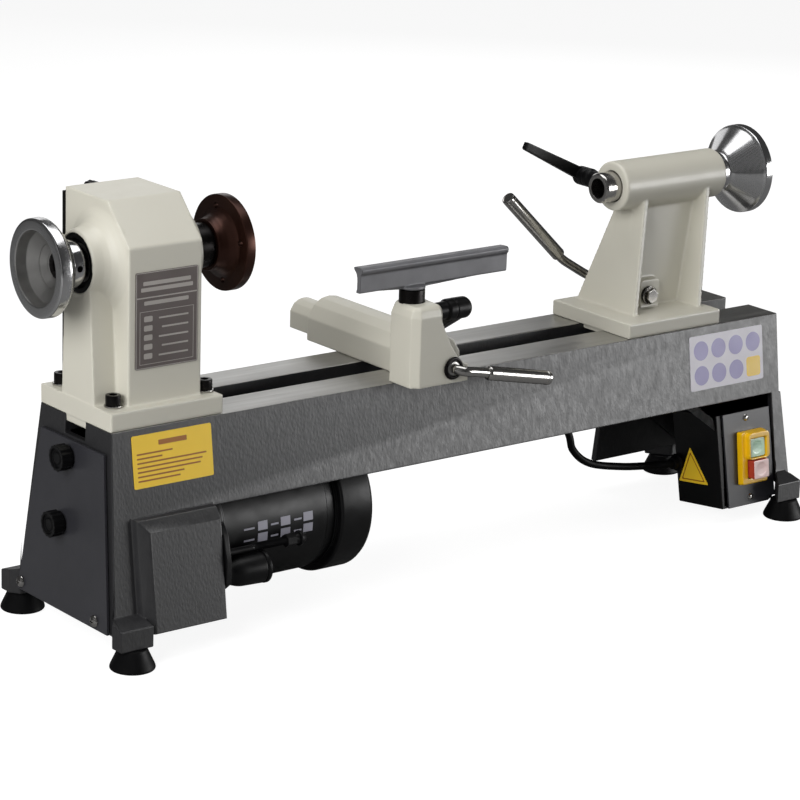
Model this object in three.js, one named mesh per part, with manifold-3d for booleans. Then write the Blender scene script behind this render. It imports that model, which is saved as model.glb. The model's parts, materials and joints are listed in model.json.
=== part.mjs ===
// A bench-top wood lathe: cast bed on rubber feet, belt-driven headstock, banjo with tool rest, tailstock.
// Millimetres, +Z up. +X runs from the headstock to the tailstock and -Y faces the turner.
// While it is being built, X is counted from the bed's left end, Y from the plane through the spindle,
// and Z from the bench. The finished group is moved so that its box stands centred on the origin.
import * as THREE from "three";
import { ConvexGeometry } from "three/addons/geometries/ConvexGeometry.js";
import { mergeVertices } from "three/addons/utils/BufferGeometryUtils.js";
import Module from "manifold-3d";

const wasm = await Module();
wasm.setup();

// ---------------------------------------------------------------- driving dimensions

const GAP = 0.3; // clearance between pieces that rest on each other
const SWING_RADIUS = 127; // spindle axis above the ways, half the 254 mm swing
const BED_LENGTH = 725;
const WAYS_Z = 186.9; // top of the ways above the bench
const WAYS_HALF = 52.9; // half the width of the ways
const SLAB = 15; // thickness of the way slab
const SLOT_HALF = 15; // half the width of the slot between the ways
const SIDE_SLOPE = 0.13; // the bed's sides lean outwards by this much per millimetre down
const END_SLOPE = 0.058; // and the left end by this much
const APRON_Z = 113.9; // lower edge of the bed between its legs
const LEG_Z = 24; // lower edge of the legs
const WALL = 6.5; // casting wall of the bed
const AXIS_Z = WAYS_Z + SWING_RADIUS;

const HEAD_RIGHT = 91.3; // right wall of the headstock, and of the left leg below it
const FLANGE_Z = WAYS_Z + 15.85; // top of the headstock flange
const HEAD_TOP = 363.9;
const FACEPLATE_X = 145.9; // front face of the faceplate
const WHEEL_X = -37.3; // outer face of the spindle handwheel
const WHEEL_RADIUS = 40;

const STEP_WIDTH = 10; // the pulleys have five steps
const SPINDLE_STEPS = [20, 24, 28, 32, 36];
const MOTOR_STEPS = [36, 32, 28, 24, 20];
const PULLEY_X = 32; // left side of both pulleys
const BELT_STEP = 3; // the step that the belt runs on
const BELT_THICKNESS = 4;
const MOTOR_Z = 80.4; // height of the motor's axis
const MOTOR_RADIUS = 58;
const BELL_RADIUS = 63;
const PIVOT_Y = 50; // the motor plate's pivot, level with the motor

const BANJO_X = 320; // the banjo's arm, its cam rod and its clamp bolt
const POST_X = 295; // the tool rest's post
const POST_Y = -54.9;
const POST_RADIUS = 11;
const CAM_Z = WAYS_Z + 13.6; // the banjo's cam rod

const BARREL_X = 561; // left end of the tailstock barrel
const BARREL_RIGHT = 681;
const BARREL_RADIUS = 22.3;
const TAIL_X = 598; // middle of the tailstock base, its clamp bolt and its cam shaft
const TAIL_CAM_Z = 212.5;
const QUILL_RADIUS = 13.6;
const QUILL_X = 544.5; // nose of the quill

const SWITCH_TILT = Math.atan(SIDE_SLOPE); // the switch box leans back with the leg's face

// ---------------------------------------------------------------- shapes

/** Half the width of the bed's casting at a height. */
const half = (z) => WAYS_HALF + SIDE_SLOPE * (WAYS_Z - z);
/** X of the bed's left end at a height. */
const leftEnd = (z) => -END_SLOPE * (WAYS_Z - z);

function box([x0, x1], [y0, y1], [z0, z1]) {
  const centre = [(x0 + x1) / 2, (y0 + y1) / 2, (z0 + z1) / 2];
  return new THREE.BoxGeometry(x1 - x0, y1 - y0, z1 - z0).translate(...centre);
}

function hull(points) {
  return new ConvexGeometry(points.map((p) => new THREE.Vector3(...p)));
}

/** A solid between two level rectangles, each given as z, [x0, x1], [y0, y1]. */
function frustum(...rectangles) {
  const points = [];
  for (const [z, xs, ys] of rectangles)
    for (const x of xs) for (const y of ys) points.push([x, y, z]);
  return hull(points);
}

/** Turns a shape built along Z so that it lies along X, Y or Z, and moves it to a place. */
function along(axis, geometry, [x, y, z]) {
  if (axis === "x") geometry.rotateX(Math.PI / 2).rotateZ(Math.PI / 2);
  if (axis === "y") geometry.rotateZ(Math.PI / 2).rotateX(Math.PI / 2).rotateZ(Math.PI);
  return geometry.translate(x, y, z);
}

/** Twice the area that a closed profile encloses, positive when it runs anticlockwise. */
function turningArea(profile) {
  return profile.reduce((sum, [a, r], i) => {
    const [nextA, nextR] = profile[(i + 1) % profile.length];
    return sum + a * nextR - nextA * r;
  }, 0);
}

/** A turned piece. The profile is a list of [distance along the axis, radius]. */
function turned(axis, place, profile, sides = 18) {
  const ordered = turningArea(profile) > 0 ? [...profile].reverse() : profile;
  const points = ordered.map(([distance, radius]) => new THREE.Vector2(radius, distance));
  const shape = new THREE.LatheGeometry(points, sides).rotateX(Math.PI / 2);
  return along(axis, shape, place);
}

/** A round bar from one distance to another along an axis. */
function bar(axis, place, from, to, radius, sides = 16) {
  return turned(axis, place, [[from, 0], [from, radius], [to, radius], [to, 0]], sides);
}

/** A ring with a hole through it. */
function ring(axis, place, from, to, inner, outer, sides = 20) {
  const profile = [[from, inner], [from, outer], [to, outer], [to, inner], [from, inner]];
  return turned(axis, place, profile, sides);
}

/** A flat outline in Y and Z, or X and Z, pulled along the third axis. */
function extruded(axis, outline, from, to) {
  const shape = new THREE.Shape(outline.map(([a, b]) => new THREE.Vector2(a, b)));
  const geometry = new THREE.ExtrudeGeometry(shape, { depth: to - from, bevelEnabled: false });
  if (axis === "x") geometry.rotateX(Math.PI / 2).rotateZ(Math.PI / 2).translate(from, 0, 0);
  if (axis === "y") geometry.rotateX(Math.PI / 2).translate(0, to, 0);
  if (axis === "z") geometry.translate(0, 0, from);
  return geometry;
}

/** A round rod that follows a curve through the given points. */
function rod(points, radius, steps, sides = 8) {
  const curve = new THREE.CatmullRomCurve3(points.map((p) => new THREE.Vector3(...p)));
  const circle = new THREE.Shape().absarc(0, 0, radius, 0, 2 * Math.PI);
  const options = { steps, extrudePath: curve, curveSegments: sides / 2, bevelEnabled: false };
  return new THREE.ExtrudeGeometry(circle, options);
}

/** A disc with a fluted rim, for a hand knob. */
function fluted(axis, place, from, to, radius, flutes) {
  const outline = [];
  const steps = flutes * 3;
  for (let i = 0; i < steps; i += 1) {
    const angle = (2 * Math.PI * i) / steps;
    const r = radius - 0.7 + 0.7 * Math.cos(flutes * angle);
    outline.push([r * Math.cos(angle), r * Math.sin(angle)]);
  }
  return along(axis, extruded("z", outline, from, to), place);
}

/** A hexagon bar of a given width across its flats. */
function hexagon(axis, place, from, to, flats) {
  const outline = [];
  for (let i = 0; i < 6; i += 1) {
    const angle = (Math.PI * i) / 3;
    outline.push([(flats * Math.cos(angle)) / Math.sqrt(3), (flats * Math.sin(angle)) / Math.sqrt(3)]);
  }
  return along(axis, extruded("z", outline, from, to), place);
}

// ---------------------------------------------------------------- joining and cutting

function solid(geometry) {
  const loose = geometry.index ? geometry.toNonIndexed() : geometry;
  const bare = new THREE.BufferGeometry().setAttribute("position", loose.getAttribute("position"));
  const merged = mergeVertices(bare, 1e-4);
  const triVerts = new Uint32Array(merged.index.array);
  const vertProperties = merged.attributes.position.array;
  return new wasm.Manifold(new wasm.Mesh({ numProp: 3, vertProperties, triVerts }));
}

function geometryOf(manifold) {
  const mesh = manifold.getMesh();
  const geometry = new THREE.BufferGeometry();
  geometry.setAttribute("position", new THREE.BufferAttribute(mesh.vertProperties, 3));
  geometry.setIndex(new THREE.BufferAttribute(mesh.triVerts, 1));
  return geometry;
}

const join = (...shapes) => geometryOf(shapes.map(solid).reduce((a, b) => a.add(b)));
const cut = (shape, ...tools) => geometryOf(tools.map(solid).reduce((a, b) => a.subtract(b), solid(shape)));

// ---------------------------------------------------------------- finishes

const FINISHES = {
  bed_paint: { color: 0x2f2f31, roughness: 0.5, metalness: 0.1 },
  cream_paint: { color: 0xd6d3c4, roughness: 0.45, metalness: 0.0 },
  black_paint: { color: 0x151517, roughness: 0.45, metalness: 0.1 },
  grey_sheet: { color: 0x3c3c40, roughness: 0.4, metalness: 0.3 },
  polished_steel: { color: 0xb9b9b8, roughness: 0.2, metalness: 1.0 },
  machined_steel: { color: 0x98989a, roughness: 0.4, metalness: 1.0 },
  black_oxide: { color: 0x201d1e, roughness: 0.4, metalness: 0.8 },
  bronze_plate: { color: 0x3a2018, roughness: 0.35, metalness: 0.9 },
  cast_grey: { color: 0x5d5e60, roughness: 0.55, metalness: 0.6 },
  alloy: { color: 0xb4b6b8, roughness: 0.35, metalness: 1.0 },
  rubber: { color: 0x121213, roughness: 0.75, metalness: 0.0 },
  black_plastic: { color: 0x161617, roughness: 0.4, metalness: 0.0 },
  yellow_plastic: { color: 0xe8b60c, roughness: 0.4, metalness: 0.0 },
  green_plastic: { color: 0x8fcaa8, roughness: 0.4, metalness: 0.0 },
  red_plastic: { color: 0xb02a26, roughness: 0.4, metalness: 0.0 },
};

const lathe = new THREE.Group();

function piece(name, finish, geometry) {
  const mesh = new THREE.Mesh(geometry, new THREE.MeshStandardMaterial(FINISHES[finish]));
  mesh.name = name;
  lathe.add(mesh);
}

// ---------------------------------------------------------------- bed and feet

const RIGHT_LEG = [617, 727]; // the right leg at the apron's lower edge
const RIGHT_LEG_FOOT_X = 734.5; // its right side at the bottom
const SWITCH_RIGHT_X = 714.8; // where the opening for the switch box ends, at the apron
const LUG_Z = [17.5, 35];
const LUG_BACK_Z = 40; // where its sloping top meets the leg
const FEET = [
  { name: "foot_front_left", x: 1, side: -1, lug: [-15, 16] },
  { name: "foot_rear_left", x: 1, side: 1, lug: [-15, 16] },
  { name: "foot_front_right", x: 718.5, side: -1, lug: [702, 731] },
  { name: "foot_rear_right", x: 718.5, side: 1, lug: [702, 731] },
];
const FOOT_Y = 84;
const LUG_OUTER_Y = 92;
const LUG_INNER_Y = 70.6;
const BOLTS = [
  { name: "headstock_bolt_front_left", x: 12.5, y: -36 },
  { name: "headstock_bolt_rear_left", x: 12.5, y: 41 },
  { name: "headstock_bolt_front_right", x: 99.8, y: -36 },
  { name: "headstock_bolt_rear_right", x: 99.8, y: 41 },
];
const COVER_KNOBS = [
  { name: "cover_knob_upper", y: 2, z: 155 },
  { name: "cover_knob_lower", y: 9, z: 98 },
];
const COVER_SCREWS = [
  { name: "cover_screw_front", y: -49, z: 31.5 },
  { name: "cover_screw_rear", y: 64, z: 31.5 },
];
const SHAFT_OPENING = 24; // radius of the hole in the left leg that the motor shaft passes

function ways() {
  return frustum(
    [WAYS_Z, [0, BED_LENGTH], [-WAYS_HALF, WAYS_HALF]],
    [APRON_Z, [0, BED_LENGTH], [-half(APRON_Z), half(APRON_Z)]],
  );
}

function channel(z0, z1, [x0, x1]) {
  return frustum(
    [z1, [x0, x1], [WALL - half(z1), half(z1) - WALL]],
    [z0, [x0, x1], [WALL - half(z0), half(z0) - WALL]],
  );
}

function leftLeg() {
  return frustum(
    [WAYS_Z, [0, HEAD_RIGHT], [-WAYS_HALF, WAYS_HALF]],
    [LEG_Z, [leftEnd(LEG_Z), HEAD_RIGHT], [-half(LEG_Z), half(LEG_Z)]],
  );
}

function leftLegHollow() {
  const top = WAYS_Z - SLAB;
  const low = LEG_Z - 5;
  return frustum(
    [top, [leftEnd(top) + WALL, HEAD_RIGHT - WALL], [WALL - half(top), half(top) - WALL]],
    [low, [leftEnd(low) + WALL, HEAD_RIGHT - WALL], [WALL - half(low), half(low) - WALL]],
  );
}

/** The chamfered box on the front of the left leg, which makes room for the motor plate and pulley. */
function bulge(inset, depth) {
  const z0 = LEG_Z - inset * 2;
  const back = 8 + inset;
  const points = [];
  for (const [z, reach] of [[z0, depth], [106.3 - inset, depth]])
    for (const x of [23 + inset, HEAD_RIGHT - inset]) points.push([x, -half(z) - reach, z]);
  for (const z of [z0, 115.4 - inset])
    for (const x of [14.5 + inset, HEAD_RIGHT - inset]) points.push([x, -half(z) - depth / 2, z]);
  for (const [z, x] of [[z0, 13 + inset], [116.2 - inset, 13 + inset]]) {
    points.push([x, -half(z), z], [x, -half(z) + back, z]);
    points.push([HEAD_RIGHT - inset, -half(z), z], [HEAD_RIGHT - inset, -half(z) + back, z]);
  }
  return hull(points);
}

function rightLeg() {
  const [x0, x1] = RIGHT_LEG;
  return frustum(
    [APRON_Z, [x0, x1], [-half(APRON_Z), half(APRON_Z)]],
    [LEG_Z + 6, [x0, RIGHT_LEG_FOOT_X], [-half(LEG_Z + 6), half(LEG_Z + 6)]],
  );
}

function rightLegHollow() {
  const [x0, x1] = RIGHT_LEG;
  return frustum(
    [APRON_Z + 1, [x0 - 5, x1 - 8], [WALL - half(APRON_Z), half(APRON_Z) - WALL]],
    [LEG_Z - 1, [x0 - 5, RIGHT_LEG_FOOT_X - 9], [WALL - half(LEG_Z), half(LEG_Z) - WALL]],
  );
}

function lug({ x, side, lug: xs }) {
  const outer = side * LUG_OUTER_Y;
  const inner = side * LUG_INNER_Y;
  // The corner is cut off inwards, and the right lugs also narrow towards the switch box.
  const corner = x < 100 ? [[xs[0], side * 78.7], [xs[0] + 6, inner], [xs[1], inner]]
    : [[xs[1], side * 78.7], [xs[1] - 2, inner], [xs[0] + 16.6, inner]];
  const base = [[xs[0], outer], [xs[1], outer], ...corner];
  const slope = (LUG_BACK_Z - LUG_Z[1]) / (LUG_OUTER_Y - LUG_INNER_Y);
  const block = hull([
    ...base.map(([a, b]) => [a, b, LUG_Z[0]]),
    ...base.map(([a, b]) => [a, b, LUG_Z[1] + slope * (LUG_OUTER_Y - Math.abs(b))]),
  ]);
  const stud = bar("z", [x, side * FOOT_Y, 0], LUG_Z[0] - 1, 33, 4.4, 16);
  return [block, stud];
}

const lugs = FEET.map(lug);
const bedBody = join(ways(), leftLeg(), bulge(0, 11.5), rightLeg(), ...lugs.map(([block]) => block));
const bedHollows = [
  leftLegHollow(),
  bulge(5, 6.5),
  channel(APRON_Z - 1, WAYS_Z - SLAB, [HEAD_RIGHT, BED_LENGTH - 8]),
  rightLegHollow(),
  frustum(
    [APRON_Z, [RIGHT_LEG[0] - 5, SWITCH_RIGHT_X], [-74.5, -40]],
    [0, [RIGHT_LEG[0] - 5, SWITCH_RIGHT_X + 3.4], [-74.5, -40]],
  ),
  box([-5, BED_LENGTH + 5], [-SLOT_HALF, SLOT_HALF], [WAYS_Z - SLAB - 1, WAYS_Z + 1]),
  box([30, 85], [-42, 42], [WAYS_Z - SLAB - 1, WAYS_Z + 1]),
  box([-20, 8], [-36, 46], [46, 142]),
  bar("x", [0, 0, MOTOR_Z], HEAD_RIGHT - 10, HEAD_RIGHT + 5, SHAFT_OPENING),
  bar("x", [0, PIVOT_Y, MOTOR_Z], HEAD_RIGHT - 10, HEAD_RIGHT + 5, 4.4, 16),
];
const bedHoles = [
  ...lugs.map(([, stud]) => stud),
  ...BOLTS.map(({ x, y }) => bar("z", [x, y, 0], WAYS_Z - SLAB - 1, WAYS_Z + 1, 4.4, 16)),
  ...COVER_KNOBS.map(({ y, z }) => bar("x", [0, y, z], -20, 8, 3.4, 12)),
  ...COVER_SCREWS.map(({ y, z }) => bar("x", [0, y, z], -20, 8, 2.9, 12)),
];
piece("bed", "bed_paint", cut(bedBody, ...bedHollows, ...bedHoles));

for (const { name, x, side } of FEET) {
  const profile = [[0, 0], [0, 18.7], [2.5, 18.7], [17.2, 12], [17.2, 4], [31, 4], [31, 0]];
  piece(name, "rubber", turned("z", [x, side * FOOT_Y, 0], profile, 16));
}

// ---------------------------------------------------------------- end cover of the left leg

const COVER_THICKNESS = 3;

function endCover() {
  const corners = [[-48, 168.5], [45.5, 168.5], [70, 24.5], [-67.5, 24.5]];
  const points = [];
  for (const [y, z] of corners) {
    const face = leftEnd(z) - GAP;
    points.push([face, y, z], [face - COVER_THICKNESS, y, z]);
  }
  const holes = [
    ...COVER_KNOBS.map(({ y, z }) => bar("x", [0, y, z], -20, 8, 3.6, 12)),
    ...COVER_SCREWS.map(({ y, z }) => bar("x", [0, y, z], -20, 8, 2.9, 12)),
  ];
  return cut(hull(points), ...holes);
}
piece("end_cover", "grey_sheet", endCover());

for (const { name, y, z } of COVER_KNOBS) {
  const face = leftEnd(z) - GAP - COVER_THICKNESS - 0.8;
  const cap = fluted("x", [0, y, z], face - 11.5, face, 11, 14);
  const stud = bar("x", [0, y, z], face - 1, 6, 3, 12);
  piece(name, "black_plastic", join(cap, stud));
}
for (const { name, y, z } of COVER_SCREWS) {
  const face = leftEnd(z) - GAP - COVER_THICKNESS - 0.5;
  const dome = [[face - 3, 0], [face - 2.6, 3], [face - 1.4, 4.6], [face, 5]];
  const profile = [...dome, [face, 2.5], [4, 2.5], [4, 0]];
  piece(name, "polished_steel", turned("x", [0, y, z], profile, 18));
}

// ---------------------------------------------------------------- headstock

const HEAD_LEFT = 22;
const FRONT_Y = -43.1;
const BACK_Y = 51.1;
const HEAD_WALL = 5;
const BEARING = { inner: 12.5, outer: 23.5, width: 13 };
const REAR_BEARING_X = 4;
const FRONT_BEARING_X = 85.5;
const DOOR_HINGE = { x: 95, y: 53.5 };

function headProfile(inset) {
  const chamfer = inset * 0.4;
  return [
    [FRONT_Y + inset, FLANGE_Z - 5 - inset * 3],
    [FRONT_Y + inset, 330.9 - chamfer],
    [-10.9 + chamfer, HEAD_TOP - inset],
    [BACK_Y - inset, HEAD_TOP - inset],
    [BACK_Y - inset, FLANGE_Z - 5 - inset * 3],
  ];
}

/** The rib that carries the left bearing boss down to the flange. */
function pedestal() {
  return frustum(
    [AXIS_Z, [0.8, HEAD_LEFT + 2], [-19, 17]],
    [FLANGE_Z - 2, [0.8, HEAD_LEFT + 2], [-27, 22]],
  );
}

function headstock() {
  const body = join(
    box([0, 106.7], [-WAYS_HALF, WAYS_HALF], [WAYS_Z + GAP, FLANGE_Z]),
    box([0.5, 26], [GAP - SLOT_HALF, SLOT_HALF - GAP], [WAYS_Z - 6, WAYS_Z + 2]),
    extruded("x", headProfile(0), HEAD_LEFT, HEAD_RIGHT),
    pedestal(),
    turned("x", [0, 0, AXIS_Z], [[0, 0], [0, 26], [1.5, 27.2], [HEAD_LEFT + 2, 31], [HEAD_LEFT + 2, 0]]),
    turned("x", [0, 0, AXIS_Z], [[88, 0], [88, 37], [98.5, 34], [100, 32.6], [100, 0]]),
  );
  const inside = extruded("x", headProfile(HEAD_WALL), HEAD_LEFT + HEAD_WALL, HEAD_RIGHT - HEAD_WALL);
  const doorway = box([HEAD_LEFT + 8, HEAD_RIGHT - 8], [30, 60], [FLANGE_Z + 8, HEAD_TOP - 18]);
  const bores = [
    bar("x", [0, 0, AXIS_Z], -5, 110, BEARING.inner + 3),
    bar("x", [0, 0, AXIS_Z], -5, REAR_BEARING_X + BEARING.width + GAP, BEARING.outer + 2 * GAP, 20),
    bar("x", [0, 0, AXIS_Z], FRONT_BEARING_X - GAP, 110, BEARING.outer + 2 * GAP, 20),
    ...BOLTS.map(({ x, y }) => bar("z", [x, y, 0], WAYS_Z - 5, FLANGE_Z + 5, 4.4, 16)),
    bar("y", [54, 0, 354.5], 40, 60, 4.8, 12),
  ];
  return cut(body, inside, doorway, ...bores);
}
piece("headstock", "cream_paint", headstock());

for (const { name, x, y } of BOLTS) {
  const washer = [[FLANGE_Z + GAP, 7.4], [FLANGE_Z + 1.8, 7.4], [FLANGE_Z + 1.8, 6.2]];
  const head = [[FLANGE_Z + 10.2, 6.2], [FLANGE_Z + 10.2, 3.2], [FLANGE_Z + 6, 3.2], [FLANGE_Z + 6, 0]];
  const shank = [[WAYS_Z - SLAB - 2, 0], [WAYS_Z - SLAB - 2, 4], [FLANGE_Z + GAP, 4]];
  piece(name, "black_oxide", turned("z", [x, y, 0], [...shank, ...washer, ...head], 12));
}

function bearing(x) {
  return ring("x", [0, 0, AXIS_Z], x, x + BEARING.width, BEARING.inner, BEARING.outer);
}
piece("rear_bearing", "machined_steel", bearing(REAR_BEARING_X));
piece("front_bearing", "machined_steel", bearing(FRONT_BEARING_X));

// ---------------------------------------------------------------- rear belt door

const DOOR_Z = [FLANGE_Z + 2, 360];

function beltDoor() {
  const panel = box([HEAD_LEFT - 1, DOOR_HINGE.x - 4], [BACK_Y + 0.4, BACK_Y + 2.9], DOOR_Z);
  const strap = box([DOOR_HINGE.x - 6, DOOR_HINGE.x], [BACK_Y + 0.4, BACK_Y + 2.9], [242, 314]);
  const knuckle = bar("z", [DOOR_HINGE.x, DOOR_HINGE.y, 0], 242, 314, 3.6, 18);
  const pin = bar("z", [DOOR_HINGE.x, DOOR_HINGE.y, 0], 200, 340, 1.8, 14);
  return cut(join(panel, strap, knuckle), pin, bar("y", [54, 0, 354.5], 40, 60, 3.4, 12));
}
piece("belt_door", "black_paint", beltDoor());

function doorHinge() {
  const place = [DOOR_HINGE.x, DOOR_HINGE.y, 0];
  const leaf = (z0, z1) => box([HEAD_RIGHT + 0.3, DOOR_HINGE.x], [44, 50.2], [z0, z1]);
  const tab = (z0, z1) => box([DOOR_HINGE.x - 1.7, DOOR_HINGE.x + 1.7], [48, DOOR_HINGE.y], [z0, z1]);
  const ends = [[230, 241.4], [314.6, 326]];
  const parts = ends.flatMap(([z0, z1]) => [leaf(z0, z1), tab(z0, z1), bar("z", place, z0, z1, 3.6, 18)]);
  return join(bar("z", place, 230, 326, 1.5, 14), ...parts);
}
piece("door_hinge_pin", "black_oxide", doorHinge());

function doorKnob() {
  const cap = fluted("y", [54, 0, 354.5], BACK_Y + 3.4, BACK_Y + 14.5, 8.5, 12);
  return join(cap, bar("y", [54, 0, 354.5], BACK_Y - 2, BACK_Y + 4, 3, 12));
}
piece("door_knob", "black_plastic", doorKnob());

// ---------------------------------------------------------------- spindle and what turns with it

const SPINDLE_RADIUS = 12.1;

function spindle() {
  const outside = [[-18.4, 6], [-18.4, 10], [0, 10], [0, SPINDLE_RADIUS], [98.8, SPINDLE_RADIUS]];
  const collar = [[98.8, 18.5], [121.7, 18.5], [121.7, 12.7], [137, 12.7]];
  const inside = [[137, 8.9], [72, 7.2], [72, 5], [-18.4, 5], [-18.4, 6]];
  return turned("x", [0, 0, AXIS_Z], [...outside, ...collar, ...inside]);
}
piece("spindle", "black_oxide", spindle());

/** A five-step pulley with a raised lip at the side of its largest step. */
function pulley(steps, z, bore) {
  const profile = [[PULLEY_X, bore]];
  steps.forEach((radius, i) => {
    const x = PULLEY_X + i * STEP_WIDTH;
    profile.push([x, radius], [x + STEP_WIDTH, radius]);
  });
  profile.push([PULLEY_X + STEP_WIDTH * steps.length, bore], [PULLEY_X, bore]);
  return turned("x", [0, 0, z], profile, 20);
}
piece("spindle_pulley", "alloy", pulley(SPINDLE_STEPS, AXIS_Z, SPINDLE_RADIUS + 0.3));

function spindleHandwheel() {
  const front = [
    [-18.4, 10.3], [-18.8, 12.4], [-27.5, 29], [WHEEL_X + 0.6, 30.3], [WHEEL_X, 31], [WHEEL_X, 38.6],
  ];
  const rim = [[WHEEL_X + 1.4, WHEEL_RADIUS], [-27.6, WHEEL_RADIUS], [-26.4, 38.6]];
  const back = [[-21, 33], [-15.5, 25], [-13.6, 19.5], [-2.6, 19.5], [-1.8, 18.6], [-1.8, 10.3]];
  const wheel = turned("x", [0, 0, AXIS_Z], [...front, ...rim, ...back, front[0]], 26);
  return cut(wheel, along("z", bar("y", [0, 0, 0], -25, -5, 2.6, 14), [-8, 0, AXIS_Z]));
}
piece("spindle_handwheel", "alloy", spindleHandwheel());
piece("handwheel_set_screw", "black_oxide", bar("y", [-8, 0, AXIS_Z], -17.2, -10.6, 2.3, 12));

const HOLE_TURN = (-10 * Math.PI) / 180;

function faceplate() {
  const front = [[FACEPLATE_X, 9.5], [FACEPLATE_X, 39.8], [137.2, 39.8], [137.2, 29]];
  const hub = [[135.5, 26.5], [130, 23], [125, 21.6], [122, 21.3], [122, 13], [138, 13], [138, 9.5]];
  const plate = turned("x", [0, 0, AXIS_Z], [...front, ...hub, [FACEPLATE_X, 9.5]], 26);
  const holes = [];
  for (let i = 0; i < 4; i += 1) {
    const angle = HOLE_TURN + (i * Math.PI) / 2;
    const place = [0, 30.5 * Math.cos(angle), AXIS_Z + 30.5 * Math.sin(angle)];
    holes.push(bar("x", place, 130, 150, 2.6, 10));
  }
  return cut(plate, ...holes);
}
piece("faceplate", "bronze_plate", faceplate());

// ---------------------------------------------------------------- motor

const PLATE_X = [HEAD_RIGHT + GAP, HEAD_RIGHT + 5.3];

/** The belt: a loop round the chosen steps, made of two arcs and the tangents between them. */
function driveBelt() {
  const low = MOTOR_STEPS[BELT_STEP] + GAP;
  const high = SPINDLE_STEPS[BELT_STEP] + GAP;
  const lean = Math.asin((high - low) / (AXIS_Z - MOTOR_Z));
  const loop = (extra) => {
    const path = new THREE.Path();
    path.absarc(0, AXIS_Z, high + extra, -lean, Math.PI + lean, false);
    path.absarc(0, MOTOR_Z, low + extra, Math.PI + lean, 2 * Math.PI - lean, false);
    return path.getPoints(9);
  };
  const shape = new THREE.Shape(loop(BELT_THICKNESS));
  shape.holes.push(new THREE.Path(loop(0)));
  const geometry = new THREE.ExtrudeGeometry(shape, { depth: STEP_WIDTH - 2, bevelEnabled: false });
  const x = PULLEY_X + BELT_STEP * STEP_WIDTH + 1;
  return geometry.rotateX(Math.PI / 2).rotateZ(Math.PI / 2).translate(x, 0, 0);
}
piece("drive_belt", "rubber", driveBelt());

piece("motor_pulley", "alloy", pulley(MOTOR_STEPS, MOTOR_Z, 7.3));
piece("motor_shaft", "machined_steel", bar("x", [0, 0, MOTOR_Z], 30.5, 125, 7, 24));

const HANDLE = { y: -67, z: 55.2, right: 140 }; // tension handle
const LOCK = { y: -66.5, z: 72.5, right: 181 }; // motor lock handle

function motorPlate() {
  const disc = bar("x", [0, 0, MOTOR_Z], ...PLATE_X, 61, 28);
  const lobe = hull(
    PLATE_X.flatMap((x) => [
      [x, -40, 40], [x, -76, 46], [x, -83, 52], [x, -83, 72], [x, -78, 92], [x, -72, 101],
      [x, -62, 104], [x, -40, 110],
    ]),
  );
  const holes = [
    bar("x", [0, 0, MOTOR_Z], 80, 110, 10),
    bar("x", [0, PIVOT_Y, MOTOR_Z], 80, 110, 4.4, 16),
    bar("x", [0, LOCK.y, LOCK.z], 80, 110, 3.6, 16),
  ];
  return cut(join(disc, lobe), ...holes);
}
piece("motor_plate", "black_paint", motorPlate());

function motorHousing() {
  const left = PLATE_X[1] + GAP;
  const profile = [
    [left, 0], [left, 59], [left + 9, 59], [left + 10, MOTOR_RADIUS], [211, MOTOR_RADIUS],
    [212, 56], [219.5, 56], [219.5, 0],
  ];
  const housing = turned("x", [0, 0, MOTOR_Z], profile, 28);
  const bore = bar("x", [0, 0, MOTOR_Z], 80, 128, 8);
  const pivot = bar("x", [0, PIVOT_Y, MOTOR_Z], 80, left + 8, 10, 16);
  return cut(housing, bore, pivot);
}
piece("motor_housing", "black_paint", motorHousing());

function motorEndBell() {
  const profile = [
    [219.8, 0], [219.8, 57], [222, 57], [222, 61], [223.5, BELL_RADIUS],
    [252.5, BELL_RADIUS], [253.5, 61.6], [255.5, 61], [256, 59], [256, 0],
  ];
  return turned("x", [0, 0, MOTOR_Z], profile, 28);
}
piece("motor_end_bell", "black_paint", motorEndBell());

piece(
  "tension_handle",
  "black_plastic",
  turned("x", [0, HANDLE.y, HANDLE.z], [
    [PLATE_X[1] + GAP, 0], [PLATE_X[1] + GAP, 9], [104, 10.5], [112, 13.2], [HANDLE.right - 1.5, 14],
    [HANDLE.right, 13], [HANDLE.right, 0],
  ]),
);

function lockHandle() {
  const place = [0, LOCK.y, LOCK.z];
  const tip = [[170, 0], [170, 4.6], [174, 4.6], [174, 6], [177, 6], [LOCK.right, 3], [LOCK.right, 0]];
  return join(
    bar("x", place, HEAD_RIGHT + 0.6, 165, 3, 18),
    hexagon("x", place, 161, 170, 10),
    turned("x", place, tip),
  );
}
piece("motor_lock_handle", "black_oxide", lockHandle());
piece("motor_pivot_bolt", "black_oxide", join(
  bar("x", [0, PIVOT_Y, MOTOR_Z], HEAD_RIGHT - 12, 98, 4, 16),
  hexagon("x", [0, PIVOT_Y, MOTOR_Z], PLATE_X[1] + GAP, 101.5, 13),
  hexagon("x", [0, PIVOT_Y, MOTOR_Z], HEAD_RIGHT - 13.5, HEAD_RIGHT - WALL - GAP, 13),
));

// ---------------------------------------------------------------- switch box

const SWITCH = { x: 655, y: -73.2, z: 14.2, height: 88, depth: 61, lean: 4.6 };
const PLATE_EDGES = [0, 58.2]; // the plate's sides at its top, before the lean
const SHELL_LEFT = -6.4; // the box's flange stands out to the left of the plate

/** The box leans with the leg: this moves a shape drawn upright to the right as it goes down. */
function leaning([low, high], ys) {
  const { height, lean } = SWITCH;
  return hull(ys.flatMap((y) => [
    [low + lean, y, 0], [high + lean, y, 0], [low, y, height], [high, y, height],
  ]));
}

/** Places a shape built with the box's front bottom left corner at the origin. */
function onSwitch(geometry) {
  return geometry.rotateX(-SWITCH_TILT).translate(SWITCH.x, SWITCH.y, SWITCH.z);
}

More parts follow.
